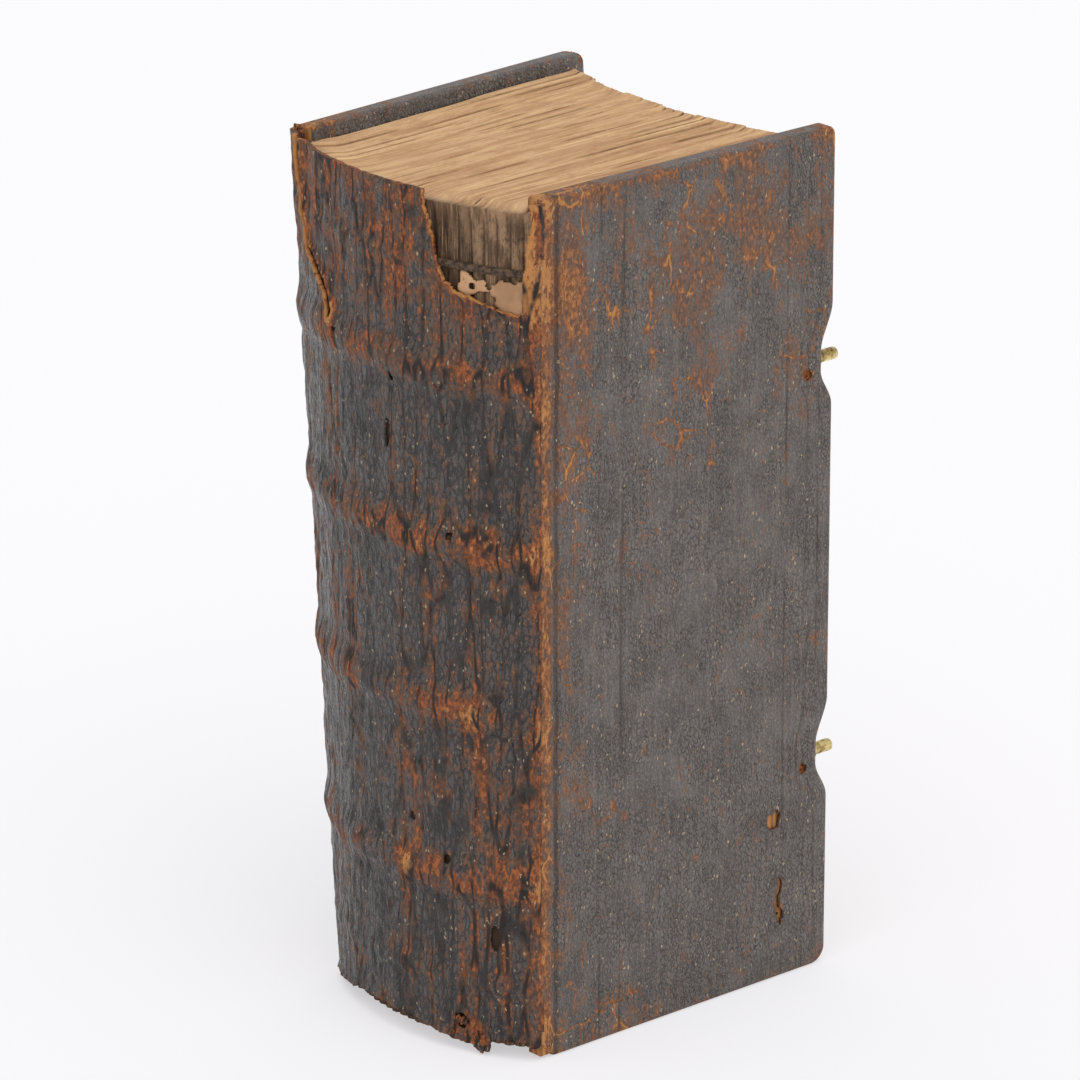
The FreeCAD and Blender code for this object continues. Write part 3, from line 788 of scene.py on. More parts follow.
def block_point(column, run):
    """Place, glue and slit of the block's skin, at a column and a row round the leaf."""
    if run < SPINE_ROWS:
        z = BLOCK_TAIL + (BLOCK_HEAD - BLOCK_TAIL) * run / SPINE_ROWS
        fold = abs(math.sin(math.pi * column * SECTIONS))
        section = int(column * SECTIONS)
        sunk = 0.25 * noise.noise(Vector((section * 2.7, 0.3, z * 25)))
        offset = (-0.85 + 0.75 * fold ** 0.5 + sunk) * MM
        offset += 0.16 * MM * noise.fractal(Vector((column * 160, z * 220, 3)), 0.8, 2.0, 3)
        return SpineArc(z).at(column, offset), 1.0, 0.8 * smooth_rise(0.35 - fold, 0.0, 0.35)
    run -= SPINE_ROWS
    if run < HEAD_ROWS or run >= HEAD_ROWS + FORE_ROWS:
        at_head = run < HEAD_ROWS
        if at_head:
            share, z = run / HEAD_ROWS, BLOCK_HEAD
        else:
            share, z = 1 - (run - HEAD_ROWS - FORE_ROWS) / TAIL_ROWS, BLOCK_TAIL
        point = leaf_point(column, share, z)
        where = point.y - front_joint.y
        slit = slit_depth(column, where) * smooth_rise(share, 0.0, 0.05)
        drop = leaf_step(column, where, 1.0 if at_head else 21.0) - slit * 1.4 * MM - 0.3 * MM
        point.z += drop if at_head else -drop
        return point, 0.85 * (1 - smooth_rise(share, 0.0, 0.035)), slit
    z = BLOCK_HEAD - (BLOCK_HEAD - BLOCK_TAIL) * (run - HEAD_ROWS) / FORE_ROWS
    point = fore_point(column, z)
    slit = slit_depth(column, z + 0.4)
    point.y += leaf_step(column, z, 41.0) - slit * 0.6 * MM
    return point, 0.0, slit


def leaf_point(column, share, z):
    """Place in the block, by leaf, share of the way from spine to fore edge, and height."""
    flat = SpineArc(z).at(column, -0.1 * MM).lerp(fore_point(column, z), share)
    inner_front = cover_at_height("front", BLOCK_SIDE, flat.y - front_joint.y, z)
    inner_back = cover_at_height("back", BLOCK_SIDE, flat.y - front_joint.y, z)
    settle = smooth_rise(share, 0.0, 0.09)
    return Vector((flat.x + (inner_front.lerp(inner_back, column).x - flat.x) * settle, flat.y, z))


def side_point(column, across, up):
    """Place on the outermost leaf. Its four edges run with the block's skin."""
    if across == 0:
        return block_point(column, up)
    if up == UPRIGHT_ROWS:
        return block_point(column, SPINE_ROWS + across)
    if across == LEVEL_ROWS:
        return block_point(column, SPINE_ROWS + HEAD_ROWS + UPRIGHT_ROWS - up)
    if up == 0:
        return block_point(column, BLOCK_ROWS - across)
    z = BLOCK_TAIL + (BLOCK_HEAD - BLOCK_TAIL) * up / UPRIGHT_ROWS
    return leaf_point(column, across / LEVEL_ROWS, z), 0.0, 0.0


def fore_point(column, z):
    """The hollow of the fore edge."""
    front = cover_at_height("front", BLOCK_SIDE, BLOCK_FORE, z)
    back = cover_at_height("back", BLOCK_SIDE, BLOCK_FORE, z)
    point = front.lerp(back, column)
    stand = next(out for end, out in FORE_GROUPS if 1 - column <= end + 0.001)
    point.y += stand * MM - FORE_HOLLOW * 4 * column * (1 - column)
    return point


print("fore edge at", [round(c / MM, 1) for c in fore_point(0.5, BOARD_HEIGHT / 2)], "mm, half way up")

# %% [markdown]
# Building the block. The first grid is wrapped round the leaves' edges and the other two are laid
# on the sides. Their borders share the same places, so that merging doubles closes the block. The
# faces stay flat shaded, which keeps the leaves crisp.

# %% Build the book block
block = bmesh.new()
bmesh.ops.create_grid(block, x_segments=LEAF_COLUMNS, y_segments=BLOCK_ROWS, size=0.5)
leaf_layer = block.verts.layers.float.new("leaf")
glue_layer = block.verts.layers.float.new("glue")
slit_layer = block.verts.layers.float.new("slit")
for vert in block.verts:
    column = vert.co.x + 0.5
    run = round((vert.co.y + 0.5) * BLOCK_ROWS) % BLOCK_ROWS
    vert[leaf_layer] = column
    vert.co, vert[glue_layer], vert[slit_layer] = block_point(column, run)
for column in (0.0, 1.0):
    side = bmesh.ops.create_grid(block, x_segments=LEVEL_ROWS, y_segments=UPRIGHT_ROWS, size=0.5)
    for vert in side["verts"]:
        across = round((vert.co.x + 0.5) * LEVEL_ROWS)
        up = round((vert.co.y + 0.5) * UPRIGHT_ROWS)
        vert[leaf_layer] = column
        vert.co, vert[glue_layer], vert[slit_layer] = side_point(column, across, up)
bmesh.ops.remove_doubles(block, verts=block.verts, dist=0.001 * MM)
bmesh.ops.recalc_face_normals(block, faces=block.faces)
text_block = finish_piece("book_block_leaves", block, [block_paper], smooth=False)
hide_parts("text_block")
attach(text_block, "book_block")
print("book block", len(text_block.data.polygons), "faces")

# %% [markdown]
# The spine's leather. It is pasted straight onto the block, so it follows the round of the spine
# and rises over the cords in four bands. It has dried into long upright wrinkles. The plates
# between them are the cells of a stretched cell pattern, and the cracks are its borders.
# The sheet is measured as the binder would: s is the way round the spine from the front joint.

# %% Spine sheet
BAND_HEIGHTS = [(34.5 + 32.2 * i) * MM for i in range(4)]
KETTLE_HEIGHTS = (14.5 * MM, BOARD_HEIGHT - 14 * MM)
SKIN_OFFSET = 1.3 * MM
SKIN_THICKNESS = 0.8 * MM
JOINT_HALF = 0.15 * MM
BAND_RISE = 1.1 * MM
BAND_HALF = 5.4 * MM
KETTLE_RISE = 0.4 * MM
KETTLE_HALF = 2.6 * MM


class SpineProfile:
    """The way round the outside of the spine at one height, measured from the front joint."""

    def __init__(self, z):
        self.arc = SpineArc(z)
        self.front = cover_at_height("front", 0, -JOINT_HALF, z)
        self.back = cover_at_height("back", 0, -JOINT_HALF, z)
        self.reach = self.arc.radius + SKIN_OFFSET
        self.front_lead = (self.arc.at(0, SKIN_OFFSET) - self.front).length
        self.back_lead = (self.arc.at(1, SKIN_OFFSET) - self.back).length
        self.round = (self.arc.front_angle - self.arc.back_angle) * self.reach
        self.length = self.front_lead + self.round + self.back_lead

    def at(self, s):
        """Point and outward direction."""
        turn = (s - self.front_lead) / self.reach
        angle = self.arc.front_angle - max(0.0, min(turn, self.round / self.reach))
        outward = Vector((math.cos(angle), math.sin(angle), 0))
        if s < self.front_lead:
            share = s / self.front_lead
            point = self.front.lerp(self.arc.at(0, SKIN_OFFSET), share)
            outward = (outward * share + Vector((1, -0.35, 0)).normalized() * (1 - share)).normalized()
        elif s > self.front_lead + self.round:
            share = (self.length - s) / self.back_lead
            point = self.back.lerp(self.arc.at(1, SKIN_OFFSET), share)
            outward = (outward * share + Vector((-1, -0.35, 0)).normalized() * (1 - share)).normalized()
        else:
            point = self.arc.along(angle, SKIN_OFFSET)
        return point, outward

    def from_front(self, away):
        """Way round the spine of a place that lies so far from the front joint in X."""
        x = front_joint.x - away
        angle = -math.acos(max(-1.0, min(1.0, (x - self.arc.centre.x) / self.reach)))
        return self.front_lead + (self.arc.front_angle - angle) * self.reach

    def from_back(self, away):
        x = self.back.x + away
        angle = -math.acos(max(-1.0, min(1.0, (x - self.arc.centre.x) / self.reach)))
        return self.front_lead + (self.arc.front_angle - angle) * self.reach


print("way round the spine", round(SpineProfile(0.08).length / MM, 1), "mm at mid height")

# %% [markdown]
# What is missing. A torn place could be cut with a boolean, but its rim would be a clean knife cut.
# Here each one is an outline, and the sheet is drawn to it. The corners of the first two outlines
# are given as the distance from a joint and the drop below the head, the tail's as the distance from
# the front joint and the height, and a hole's by its distance, height, width and length. All are in
# millimetres, and a tear's last two numbers say how ragged its rim is and which noise it follows.

# %% Torn places of the spine
MISSING_AT_HEAD = (
    (22.0, -2.0), (21.3, 3.8), (19.8, 8.0), (19.1, 11.3), (17.1, 17.1), (13.7, 19.0),
    (12.3, 19.1), (6.5, 21.1), (2.9, 21.7), (2.3, 20.5), (2.1, 14.4), (1.6, 8.8),
    (0.8, 4.3), (1.3, -2.0),
)
BACK_JOINT_SPLIT = (
    (6.2, -2.0), (6.7, 6.0), (9.1, 16.3), (9.8, 19.3), (13.7, 21.6), (17.0, 25.0), (19.2, 29.8),
    (17.7, 31.2), (15.2, 26.2), (11.8, 23.4), (7.7, 20.9), (7.0, 16.5), (4.6, 6.0), (4.0, -2.0),
)
TAIL_EDGE = (
    (-2.0, 2.8), (0.7, 2.8), (1.9, 3.9), (8.0, 3.2), (8.4, 0.7), (9.6, 0.7), (10.9, 1.6),
    (15.6, 2.3), (21.1, 3.3), (26.9, 4.0), (32.5, 4.4), (39.7, 4.1), (46.0, 3.0), (54.0, 1.8),
    (62.0, 1.2),
)
WORM_HOLES = (
    (45.5, 131.9, 2.3, 2.5), (29.1, 127.6, 1.7, 1.7), (30.5, 116.6, 1.8, 5.1),
    (15.5, 100.3, 1.7, 1.7), (24.7, 43.9, 1.8, 2.0), (16.4, 37.5, 1.8, 1.8),
    (7.0, 23.6, 1.9, 5.5), (13.6, 6.0, 2.9, 3.3),
)
FRAY_FROM_FRONT = 14.5 * MM
FRAY_HEIGHT = 4.5 * MM


def on_sheet(points, side):
    """Turns distances from a joint and drops below the head into places on the spine's sheet."""
    placed = []
    for away, drop in points:
        z = BOARD_HEIGHT - drop * MM
        profile = SpineProfile(z)
        s = profile.from_front(away * MM) if side == "front" else profile.from_back(away * MM)
        placed.append((s / MM, z / MM))
    return placed


torn_head = Tear(on_sheet(MISSING_AT_HEAD, "front"), 0.45, 1.0)
joint_split = Tear(on_sheet(BACK_JOINT_SPLIT, "back"), 0.1, 2.0)
tail_line = [(SpineProfile(z * MM).from_front(max(away, 0.3) * MM) / MM, z) for away, z in TAIL_EDGE[1:]]
tail_line = [(-3.0, 2.8)] + tail_line + [(80.0, 1.2)]
torn_tail = Tear([(-3.0, -6.0)] + tail_line + [(80.0, -6.0)], 0.35, 3.0)
long_tears = [torn_head, joint_split, torn_tail]
worm_holes = []
for away, z, width, height in WORM_HOLES:
    s = SpineProfile(z * MM).from_front(away * MM) / MM
    worm_holes.append(Oval(s, z, width, height))
spine_tears = long_tears + worm_holes
print("torn places", len(spine_tears))

# %% [markdown]
# The relief of the spine is a height over the plain round, worked out for each point: bands over
# the cords, faint ridges over the kettle stitches, plates of dried skin and a lifted lip along each
# tear. The same function says how worn a place is, because wear follows relief: a band is rubbed
# at its top, and the lip of a tear is bare fibre. A sculpted mesh would hold all this too, but it
# couldn't be read or changed line by line.

# %% Wrinkles, bands and wear of the spine


def plates(s, z):
    """Height of the wrinkled skin, from 0 in a crack to 1 on a plate, and how near a crack is."""
    warp = noise.noise(Vector((s * 160, z * 60, 4))) * 0.9 * MM
    warp += noise.noise(Vector((s * 500, z * 130, 8))) * 0.35 * MM
    place = Vector(((s + warp) / (2.6 * MM), z / (9 * MM), 0.5))
    first, second = noise.voronoi(place)[0][:2]
    border = second - first
    return smooth_rise(border, 0.0, 0.35), 1 - smooth_rise(border, 0.02, 0.2)


def spine_relief(s, z, length, gap):
    """Height above the plain round, how worn a place is, and how deep in a crack it lies."""
    ends = smooth_rise(s, 0.0, 5 * MM) * smooth_rise(length - s, 0.0, 5 * MM)
    sag = 1.2 * MM * (1 - s / length)
    rise = 0.0
    band = 0.0
    for height in BAND_HEIGHTS:
        wander = noise.noise(Vector((s * 70, height * 40, 1))) * 0.8 * MM
        bump = hump(z + sag + wander - 1.0 * MM, height, BAND_HALF)
        band = max(band, bump)
    rise += BAND_RISE * band * (0.6 + 0.4 * ends)
    for height in KETTLE_HEIGHTS:
        rise += KETTLE_RISE * hump(z, height, KETTLE_HALF) * ends
    plate, crack = plates(s, z)
    depth = 0.2 + 0.12 * noise.noise(Vector((s * 60, z * 30, 6)))
    rise += (plate - 0.6) * depth * MM
    rise += 0.1 * MM * noise.fractal(Vector((s * 620, z * 400, 2)), 0.8, 2.0, 3)
    rise += 0.3 * MM * noise.noise(Vector((s * 120, z * 45, 7)))
    rise += 0.3 * MM * (1 - smooth_rise(gap, 0.0, 1.2 * MM))
    split = joint_split.distance(s, z)
    rise += 0.35 * MM * (1 - smooth_rise(split, 0.0, 1.6 * MM))
    joint_front = 0.2 * (1 - smooth_rise(s, 0.2 * MM, 1.0 * MM))
    joint_front += 0.2 * (1 - smooth_rise(s, 1.5 * MM, 6 * MM))
    joint_back = 0.3 * (1 - smooth_rise(length - s, 0.3 * MM, 2.5 * MM))
    rub = noise.fractal(Vector((s * 90, z * 45, 3)), 0.8, 2.0, 3)
    lane = max(0.0, noise.noise(Vector((s * 190, z * 9, 11)))) ** 1.5
    worn = 0.09 + 0.31 * band * (1 + 0.8 * rub) + joint_front + joint_back + 0.16 * rub + 0.45 * lane
    worn += 0.32 * (1 - smooth_rise(gap, 0.0, 0.7 * MM))
    worn += 0.3 * (1 - smooth_rise(split, 0.4 * MM, 2.2 * MM))
    fray = Vector((s - FRAY_FROM_FRONT, 1.6 * (z - FRAY_HEIGHT))).length
    worn += 0.42 * (1 - smooth_rise(fray, 1.5 * MM, 6.5 * MM))
    worn += 0.3 * smooth_rise(z, 133 * MM, 146 * MM) + 0.05 * (1 - smooth_rise(s, 20 * MM, 34 * MM))
    return rise, max(0.0, min(1.0, worn)), crack


print("bands at", [round(height / MM, 1) for height in BAND_HEIGHTS])

# %% [markdown]
# Laying the sheet. The grid's columns become ways round the spine and its rows heights, each point
# is lifted by the relief, and the torn places are cut out. At both joints the relief fades away, so
# that the sheet meets the covers' leather.

# %% Lay the spine's leather
SPINE_COLUMNS = 140
SPINE_SHEET_ROWS = 325
SNAP = 0.28 * MM

skin = bmesh.new()
bmesh.ops.create_grid(skin, x_segments=SPINE_COLUMNS, y_segments=SPINE_SHEET_ROWS, size=0.5)
worn_layer = skin.verts.layers.float.new("worn")
crease_layer = skin.verts.layers.float.new("crease")
gap_layer = skin.verts.layers.float.new("inside")
profiles = {}
for vert in skin.verts:
    share = 0.5 - vert.co.x
    row = round((vert.co.y + 0.5) * SPINE_SHEET_ROWS)
    z = SPINE_TAIL + (SPINE_HEAD - SPINE_TAIL) * row / SPINE_SHEET_ROWS
    if row not in profiles:
        profiles[row] = SpineProfile(z)
    profile = profiles[row]
    s = share * profile.length
    moved_s, moved_z, gap = pulled_to_rim(spine_tears, s, z, SNAP)
    if 0 < share < 1:
        s = max(0.0, min(profile.length, moved_s))
    z = max(SPINE_TAIL, min(SPINE_HEAD, moved_z))
    rise, worn, crack = spine_relief(s, z, profile.length, nearest_tear(long_tears, s, z))
    point, outward = SpineProfile(z).at(s)
    at_joint = smooth_rise(min(s, profile.length - s), 0.0, 0.8 * MM)
    point += outward * rise * at_joint
    vert.co = point
    vert[worn_layer] = worn
    vert[crease_layer] = crack
    vert[gap_layer] = gap
cut_out(skin, gap_layer)
spine_piece = finish_piece("spine_leather_skin", skin, [spine_skin, raw_skin])
thicken(spine_piece, SKIN_THICKNESS)
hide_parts("spine_leather")
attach(spine_piece, "book_block")
print("spine leather", len(spine_piece.data.polygons), "faces")

# %% [markdown]
# The covers' leather. It was one flat sheet, pasted on the board and folded round three of its
# edges. The same can be done here: a grid is laid on the outer face, and whatever hangs over an edge
# is folded round it by a formula that follows the edge's rounding, down the side and back inside.

# %% Fold a sheet round a board
EDGE_ROUND = 0.9 * MM
COVER_SKIN = 0.6 * MM
TURN_IN = 11 * MM
CORNER_ROUNDS = {("front", "tail"): 3.4 * MM, ("front", "head"): 1.6 * MM,
                 ("back", "tail"): 2.4 * MM, ("back", "head"): 2.2 * MM}
PIN_NAMES = ("catch_pin_lower", "catch_pin_upper")
PIN_HEIGHTS = [(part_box(name)[0][2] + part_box(name)[1][2]) / 2 for name in PIN_NAMES]
TAIL_CORNER_RISE = 3.0 * MM
TAIL_CORNER_REACH = 3.6 * MM
NOTCH_DEPTH = 2.8 * MM
NOTCH_FLOOR_HALF = 2.0 * MM
NOTCH_RISE = 9.0 * MM
NOTCH_FALL = 7.0 * MM


def folded(over):
    """How a sheet goes round an edge: outward shift and inward depth, for a way past the fold."""
    quarter = EDGE_ROUND * math.pi / 2
    side = COVER_THICKNESS - 2 * EDGE_ROUND
    if over <= 0:
        return over, 0.0
    if over < quarter:
        turn = over / EDGE_ROUND
        return math.sin(turn) * EDGE_ROUND, (1 - math.cos(turn)) * EDGE_ROUND
    if over < quarter + side:
        return EDGE_ROUND, EDGE_ROUND + over - quarter
    if over < 2 * quarter + side:
        turn = (over - quarter - side) / EDGE_ROUND
        return math.cos(turn) * EDGE_ROUND, COVER_THICKNESS - EDGE_ROUND + math.sin(turn) * EDGE_ROUND
    return -(over - 2 * quarter - side), COVER_THICKNESS


FOLD_WAY = EDGE_ROUND * math.pi + COVER_THICKNESS - 2 * EDGE_ROUND
OVERHANG = FOLD_WAY + TURN_IN - EDGE_ROUND


def notch_depth(side, z):
    """How far the fore edge is cut back at a height, for the catch pins."""
    depth = 0.0
    if side == "front":
        for pin in PIN_HEIGHTS:
            above = z - pin - NOTCH_FLOOR_HALF
            below = pin - NOTCH_FLOOR_HALF - z
            share = max(above / NOTCH_RISE, below / NOTCH_FALL, 0.0)
            depth = max(depth, NOTCH_DEPTH * (1 - smooth_rise(share, 0.0, 1.0)))
    return depth


def drawn_back(side, y, z):
    """Place across the board of a sheet point, after the notches have drawn the fore edge back."""
    near_fore = smooth_rise(y, BOARD_DEPTH - 12 * MM, BOARD_DEPTH - 3 * MM)
    return y - notch_depth(side, z) * near_fore


def over_board(side, depth, rise, lift):
    """Place on a cover of a sheet point, by its way from the joint and its way up the flat sheet."""
    fore = BOARD_DEPTH - EDGE_ROUND
    top = BOARD_HEIGHT - EDGE_ROUND
    level = max(EDGE_ROUND, min(top, rise))
    over_y = depth - fore
    over_z = max(rise - top, EDGE_ROUND - rise)
    sign = 1 if rise > BOARD_HEIGHT / 2 else -1
    corner = CORNER_ROUNDS[side, "head" if sign > 0 else "tail"] - EDGE_ROUND
    in_y = over_y + corner
    in_z = over_z + corner
    if in_y > 0 and in_z > 0:
        away = Vector((in_y, in_z))
        out, inward = folded(away.length - corner)
        out = max(out + corner, 0.0)
        away = away.normalized() * out
        y = fore - corner + away.x
        z = (top - corner + away.y) if sign > 0 else (EDGE_ROUND + corner - away.y)
        inward_lift = 0.0
    elif over_y > over_z:
        out, inward = folded(over_y)
        y, z = fore + out, level
        inward_lift = 0.1 * MM * smooth_rise(over_y, FOLD_WAY, FOLD_WAY + 1 * MM)
    else:
        out, inward = folded(over_z)
        y = depth
        z = (top + out) if sign > 0 else (EDGE_ROUND - out)
        inward_lift = 0.0
    raised = TAIL_CORNER_RISE * (1 - smooth_rise(y, -0.5 * MM, TAIL_CORNER_REACH))
    z += raised * (1 - smooth_rise(z, 0.0, 14 * MM))
    y = drawn_back(side, y, z)
    outward = 1 - 2 * inward / COVER_THICKNESS
    return cover_point(side, inward - lift * outward + inward_lift, y, z)


print("sheet of one cover", round((BOARD_DEPTH + OVERHANG) / MM), "mm wide")
print("sheet of one cover", round((BOARD_HEIGHT + 2 * OVERHANG) / MM), "mm high")

# %% [markdown]
# The face of a cover. The finisher ran lines down it with a heated tool, close to the joint and
# near the fore edge, and pressed a row of plain curls between them. Handling has rubbed most of it
# away, so the tooling is shallow. Wear goes where hands and shelves touch: the joint, the corners,
# the tail edge and the top third.

# %% Relief and wear of the covers
TOOLED_LINES = (3.7 * MM, 14.0 * MM, 19.4 * MM, 60.2 * MM, 65.4 * MM, 68.3 * MM)
CURL_PITCH = 15.5 * MM
CURL_RADIUS = 4.6 * MM
SLIP_RISE = 0.3 * MM


def curl_groove(depth, rise):
    """A row of S-shaped curls pressed up the middle of the face."""
    step = rise / CURL_PITCH
    centre = (math.floor(step) + 0.5) * CURL_PITCH
    side = 1 if math.floor(step) % 2 else -1
    off = Vector((depth - 39 * MM - side * 6 * MM, rise - centre))
    reach = off.length
    turn = math.atan2(off.y, off.x * side)
    spiral = CURL_RADIUS * (0.45 + 0.55 * (turn / math.pi + 1) / 2)
    return hump(reach, spiral, 0.55 * MM) + 0.7 * hump(reach, spiral * 0.5, 0.45 * MM)


def cover_relief(side, depth, rise):
    """Height, wear and crease of a cover's outer face."""
    seed = 3.0 if side == "front" else 53.0
    lift = 0.12 * MM * noise.noise(Vector((depth * 60, rise * 40, seed)))
    lift += 0.05 * MM * noise.fractal(Vector((depth * 420, rise * 170, seed + 1)), 0.8, 2.0, 3)
    crease = 0.0
    for line in TOOLED_LINES:
        wander = 0.25 * MM * noise.noise(Vector((line * 900, rise * 30, seed)))
        groove = hump(depth, line + wander, 0.6 * MM)
        strength = 0.6 + 0.6 * noise.noise(Vector((line * 700, rise * 50, seed + 2)))
        lift -= 0.22 * MM * groove * strength
        crease = max(crease, 1.15 * groove * strength)
    curl = curl_groove(depth, rise) * (0.6 + 0.7 * noise.noise(Vector((depth * 80, rise * 60, seed + 4))))
    lift -= 0.17 * MM * max(0.0, curl)
    crease = max(crease, 0.8 * curl)
    for band in BAND_HEIGHTS:
        lift += SLIP_RISE * hump(rise, band, 3.5 * MM) * (1 - smooth_rise(depth, 6 * MM, 11 * MM))
    groove = hump(depth, 3.4 * MM, 1.2 * MM)
    lift -= 0.25 * MM * groove
    crease = max(crease, 0.8 * groove)
    rub = noise.fractal(Vector((depth * 70, rise * 50, seed + 6)), 0.8, 2.0, 4)
    worn = 0.1 + 0.12 * rub
    ridge = 0.42 + 0.34 * noise.fractal(Vector((depth * 350, rise * 110, seed + 8)), 0.8, 2.0, 3)
    for band in BAND_HEIGHTS:
        ridge += 0.16 * hump(rise + 1 * MM, band, 6 * MM)
    worn += ridge * (1 - smooth_rise(depth, 1.3 * MM, 2.8 * MM))
    worn += 0.24 * (1 - smooth_rise(depth, 3 * MM, 15 * MM))
    worn += 0.23 * smooth_rise(rise, 100 * MM, 145 * MM) * (1 + rub)
    worn += 0.2 * hump(depth, 7 * MM, 7 * MM) * hump(rise, 149 * MM, 12 * MM)
    worn += 0.14 * (1 - smooth_rise(rise, 2 * MM, 14 * MM))
    head = BOARD_HEIGHT - rise
    worn += 0.25 * hump(head, 0.9 * MM, 0.9 * MM)
    worn += 0.35 * (1 - smooth_rise(min(BOARD_DEPTH - depth, rise), 0.1 * MM, 1.1 * MM))
    corner = min(Vector((BOARD_DEPTH - depth, rise)).length, Vector((BOARD_DEPTH - depth, head)).length)
    worn += 0.35 * (1 - smooth_rise(corner, 1.5 * MM, 4.5 * MM))
    return lift, max(0.0, min(1.0, worn)), crease


print("tooled lines", len(TOOLED_LINES))

# %% [markdown]
# What is missing from the front cover: a small scab and a slit near the fore edge, and two round
# holes over the nails of the pins. Outlines are given as depth from the joint and height above the
# tail, in millimetres. The sheet is later drawn back at the notches, so the way to a nail along the
# flat sheet is found by halving: try the middle, see where it lands, and keep the half that holds.

# %% Torn places of the front cover
front_tears = [
    Tear(((56.0, 33.2), (58.6, 34.2), (60.0, 33.6), (59.2, 30.6), (57.6, 30.4), (56.2, 31.6)), 0.2, 4.0),
    Tear(((59.5, 21.6), (60.5, 18.6), (59.6, 15.4), (60.7, 12.8), (59.8, 8.8), (59.0, 12.8),
          (58.2, 15.4), (59.1, 18.6)), 0.35, 5.0),
    Tear(((55.1, 34.4), (53.6, 32.4), (53.0, 30.2), (53.5, 32.4)), 0.1, 6.0),
]
NAIL_DEPTH = 65.4 * MM
NAIL_DROP = 2.07 * MM
NAIL_HOLE = 2.1 * MM


def flat_depth(side, depth, z):
    """Way along the flat sheet that ends up at a depth, once the notch has drawn the sheet back."""
    low, high = depth, depth + NOTCH_DEPTH
    for _ in range(24):
        middle = (low + high) / 2
        if drawn_back(side, middle, z) < depth:
            low = middle
        else:
            high = middle
    return low


for pin in PIN_HEIGHTS:
    z = pin - NAIL_DROP
    near = flat_depth("front", NAIL_DEPTH - NAIL_HOLE / 2, z)
    far = flat_depth("front", NAIL_DEPTH + NAIL_HOLE / 2, z)
    front_tears.append(Oval((near + far) / 2 / MM, z / MM, (far - near) / MM, NAIL_HOLE / MM))
COVER_TEARS = {"front": front_tears, "back": []}
print("torn places in the front cover", len(front_tears))

# %% [markdown]
# The grid is fine on the outer face and coarser in the turn-ins, which show only when the book is
# open. After the fold the sheet gets the thickness of the skin. The cover's piece starts at the
# joint, where it meets the spine's leather, and its relief fades in over the first 0.8 mm, so that
# the joint is rounded as leather is.

# %% Cover sheets
FACE_COLUMNS, FOLD_COLUMNS, TURN_COLUMNS = 130, 11, 4
FACE_ROWS = 270
COVER_SNAP = 0.3 * MM
FACE_END = BOARD_DEPTH - EDGE_ROUND


def sheet_way(step, face_steps, face_length):
    """Way along the flat sheet at a grid line, past the face, the fold and the turn-in."""
    if step <= face_steps:
        return face_length * step / face_steps
    step -= face_steps
    if step <= FOLD_COLUMNS:
        return face_length + FOLD_WAY * step / FOLD_COLUMNS
    return face_length + FOLD_WAY + (TURN_IN - EDGE_ROUND) * (step - FOLD_COLUMNS) / TURN_COLUMNS


def cover_sheet(side):
    columns = FACE_COLUMNS + FOLD_COLUMNS + TURN_COLUMNS
    half_rows = FACE_ROWS // 2 + FOLD_COLUMNS + TURN_COLUMNS
    form = bmesh.new()
    bmesh.ops.create_grid(form, x_segments=columns, y_segments=2 * half_rows, size=0.5)
    worn_layer = form.verts.layers.float.new("worn")
    crease_layer = form.verts.layers.float.new("crease")
    gap_layer = form.verts.layers.float.new("inside")
    half_height = BOARD_HEIGHT / 2 - EDGE_ROUND
    for vert in form.verts:
        step = round((vert.co.x + 0.5) * columns)
        up = round(vert.co.y * 2 * half_rows)
        depth = sheet_way(step, FACE_COLUMNS, FACE_END)
        rise = BOARD_HEIGHT / 2 + math.copysign(sheet_way(abs(up), FACE_ROWS // 2, half_height), up)
        gap = 1.0
        if COVER_TEARS[side]:
            depth, rise, gap = pulled_to_rim(COVER_TEARS[side], depth, rise, COVER_SNAP)
        lift, worn, crease = cover_relief(side, depth, rise)
        over = max(depth - FACE_END, rise - BOARD_HEIGHT + EDGE_ROUND, EDGE_ROUND - rise, 0.0)
        lift *= 1 - smooth_rise(over, 0.0, 1.2 * MM)
        lift += 0.15 * MM * (1 - smooth_rise(gap, 0.0, 0.8 * MM))
        lift *= smooth_rise(depth, 0.0, 0.8 * MM)
        worn += 0.3 * (1 - smooth_rise(gap, 0.0, 0.7 * MM))
        if over > FOLD_WAY:
            worn *= 0.3
        point = over_board(side, max(depth, 0.0), rise, lift)
        if depth <= 0.0:
            point = cover_at_height(side, 0.0, -JOINT_HALF, point.z)
        vert.co = point
        vert[worn_layer] = worn
        vert[crease_layer] = crease
        vert[gap_layer] = gap
    cut_out(form, gap_layer)
    bmesh.ops.remove_doubles(form, verts=form.verts, dist=0.002 * MM)
    if side == "back":
        bmesh.ops.reverse_faces(form, faces=form.faces)
    piece = finish_piece(side + "_leather_skin", form, [cover_skin, raw_skin])
    thicken(piece, COVER_SKIN)
    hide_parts(side + "_leather")
    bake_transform(piece)
    print(piece.name, len(piece.data.polygons), "faces")


for side in COVERS:
    cover_sheet(side)

# %% [markdown]
# The topmost spine lining shows through the torn head. It is waste paper that was glued over the
# folds, and insects have eaten it away in bites. It is made as the leather was: a grid on the round
# of the spine, bites taken out of it, and then its thickness.

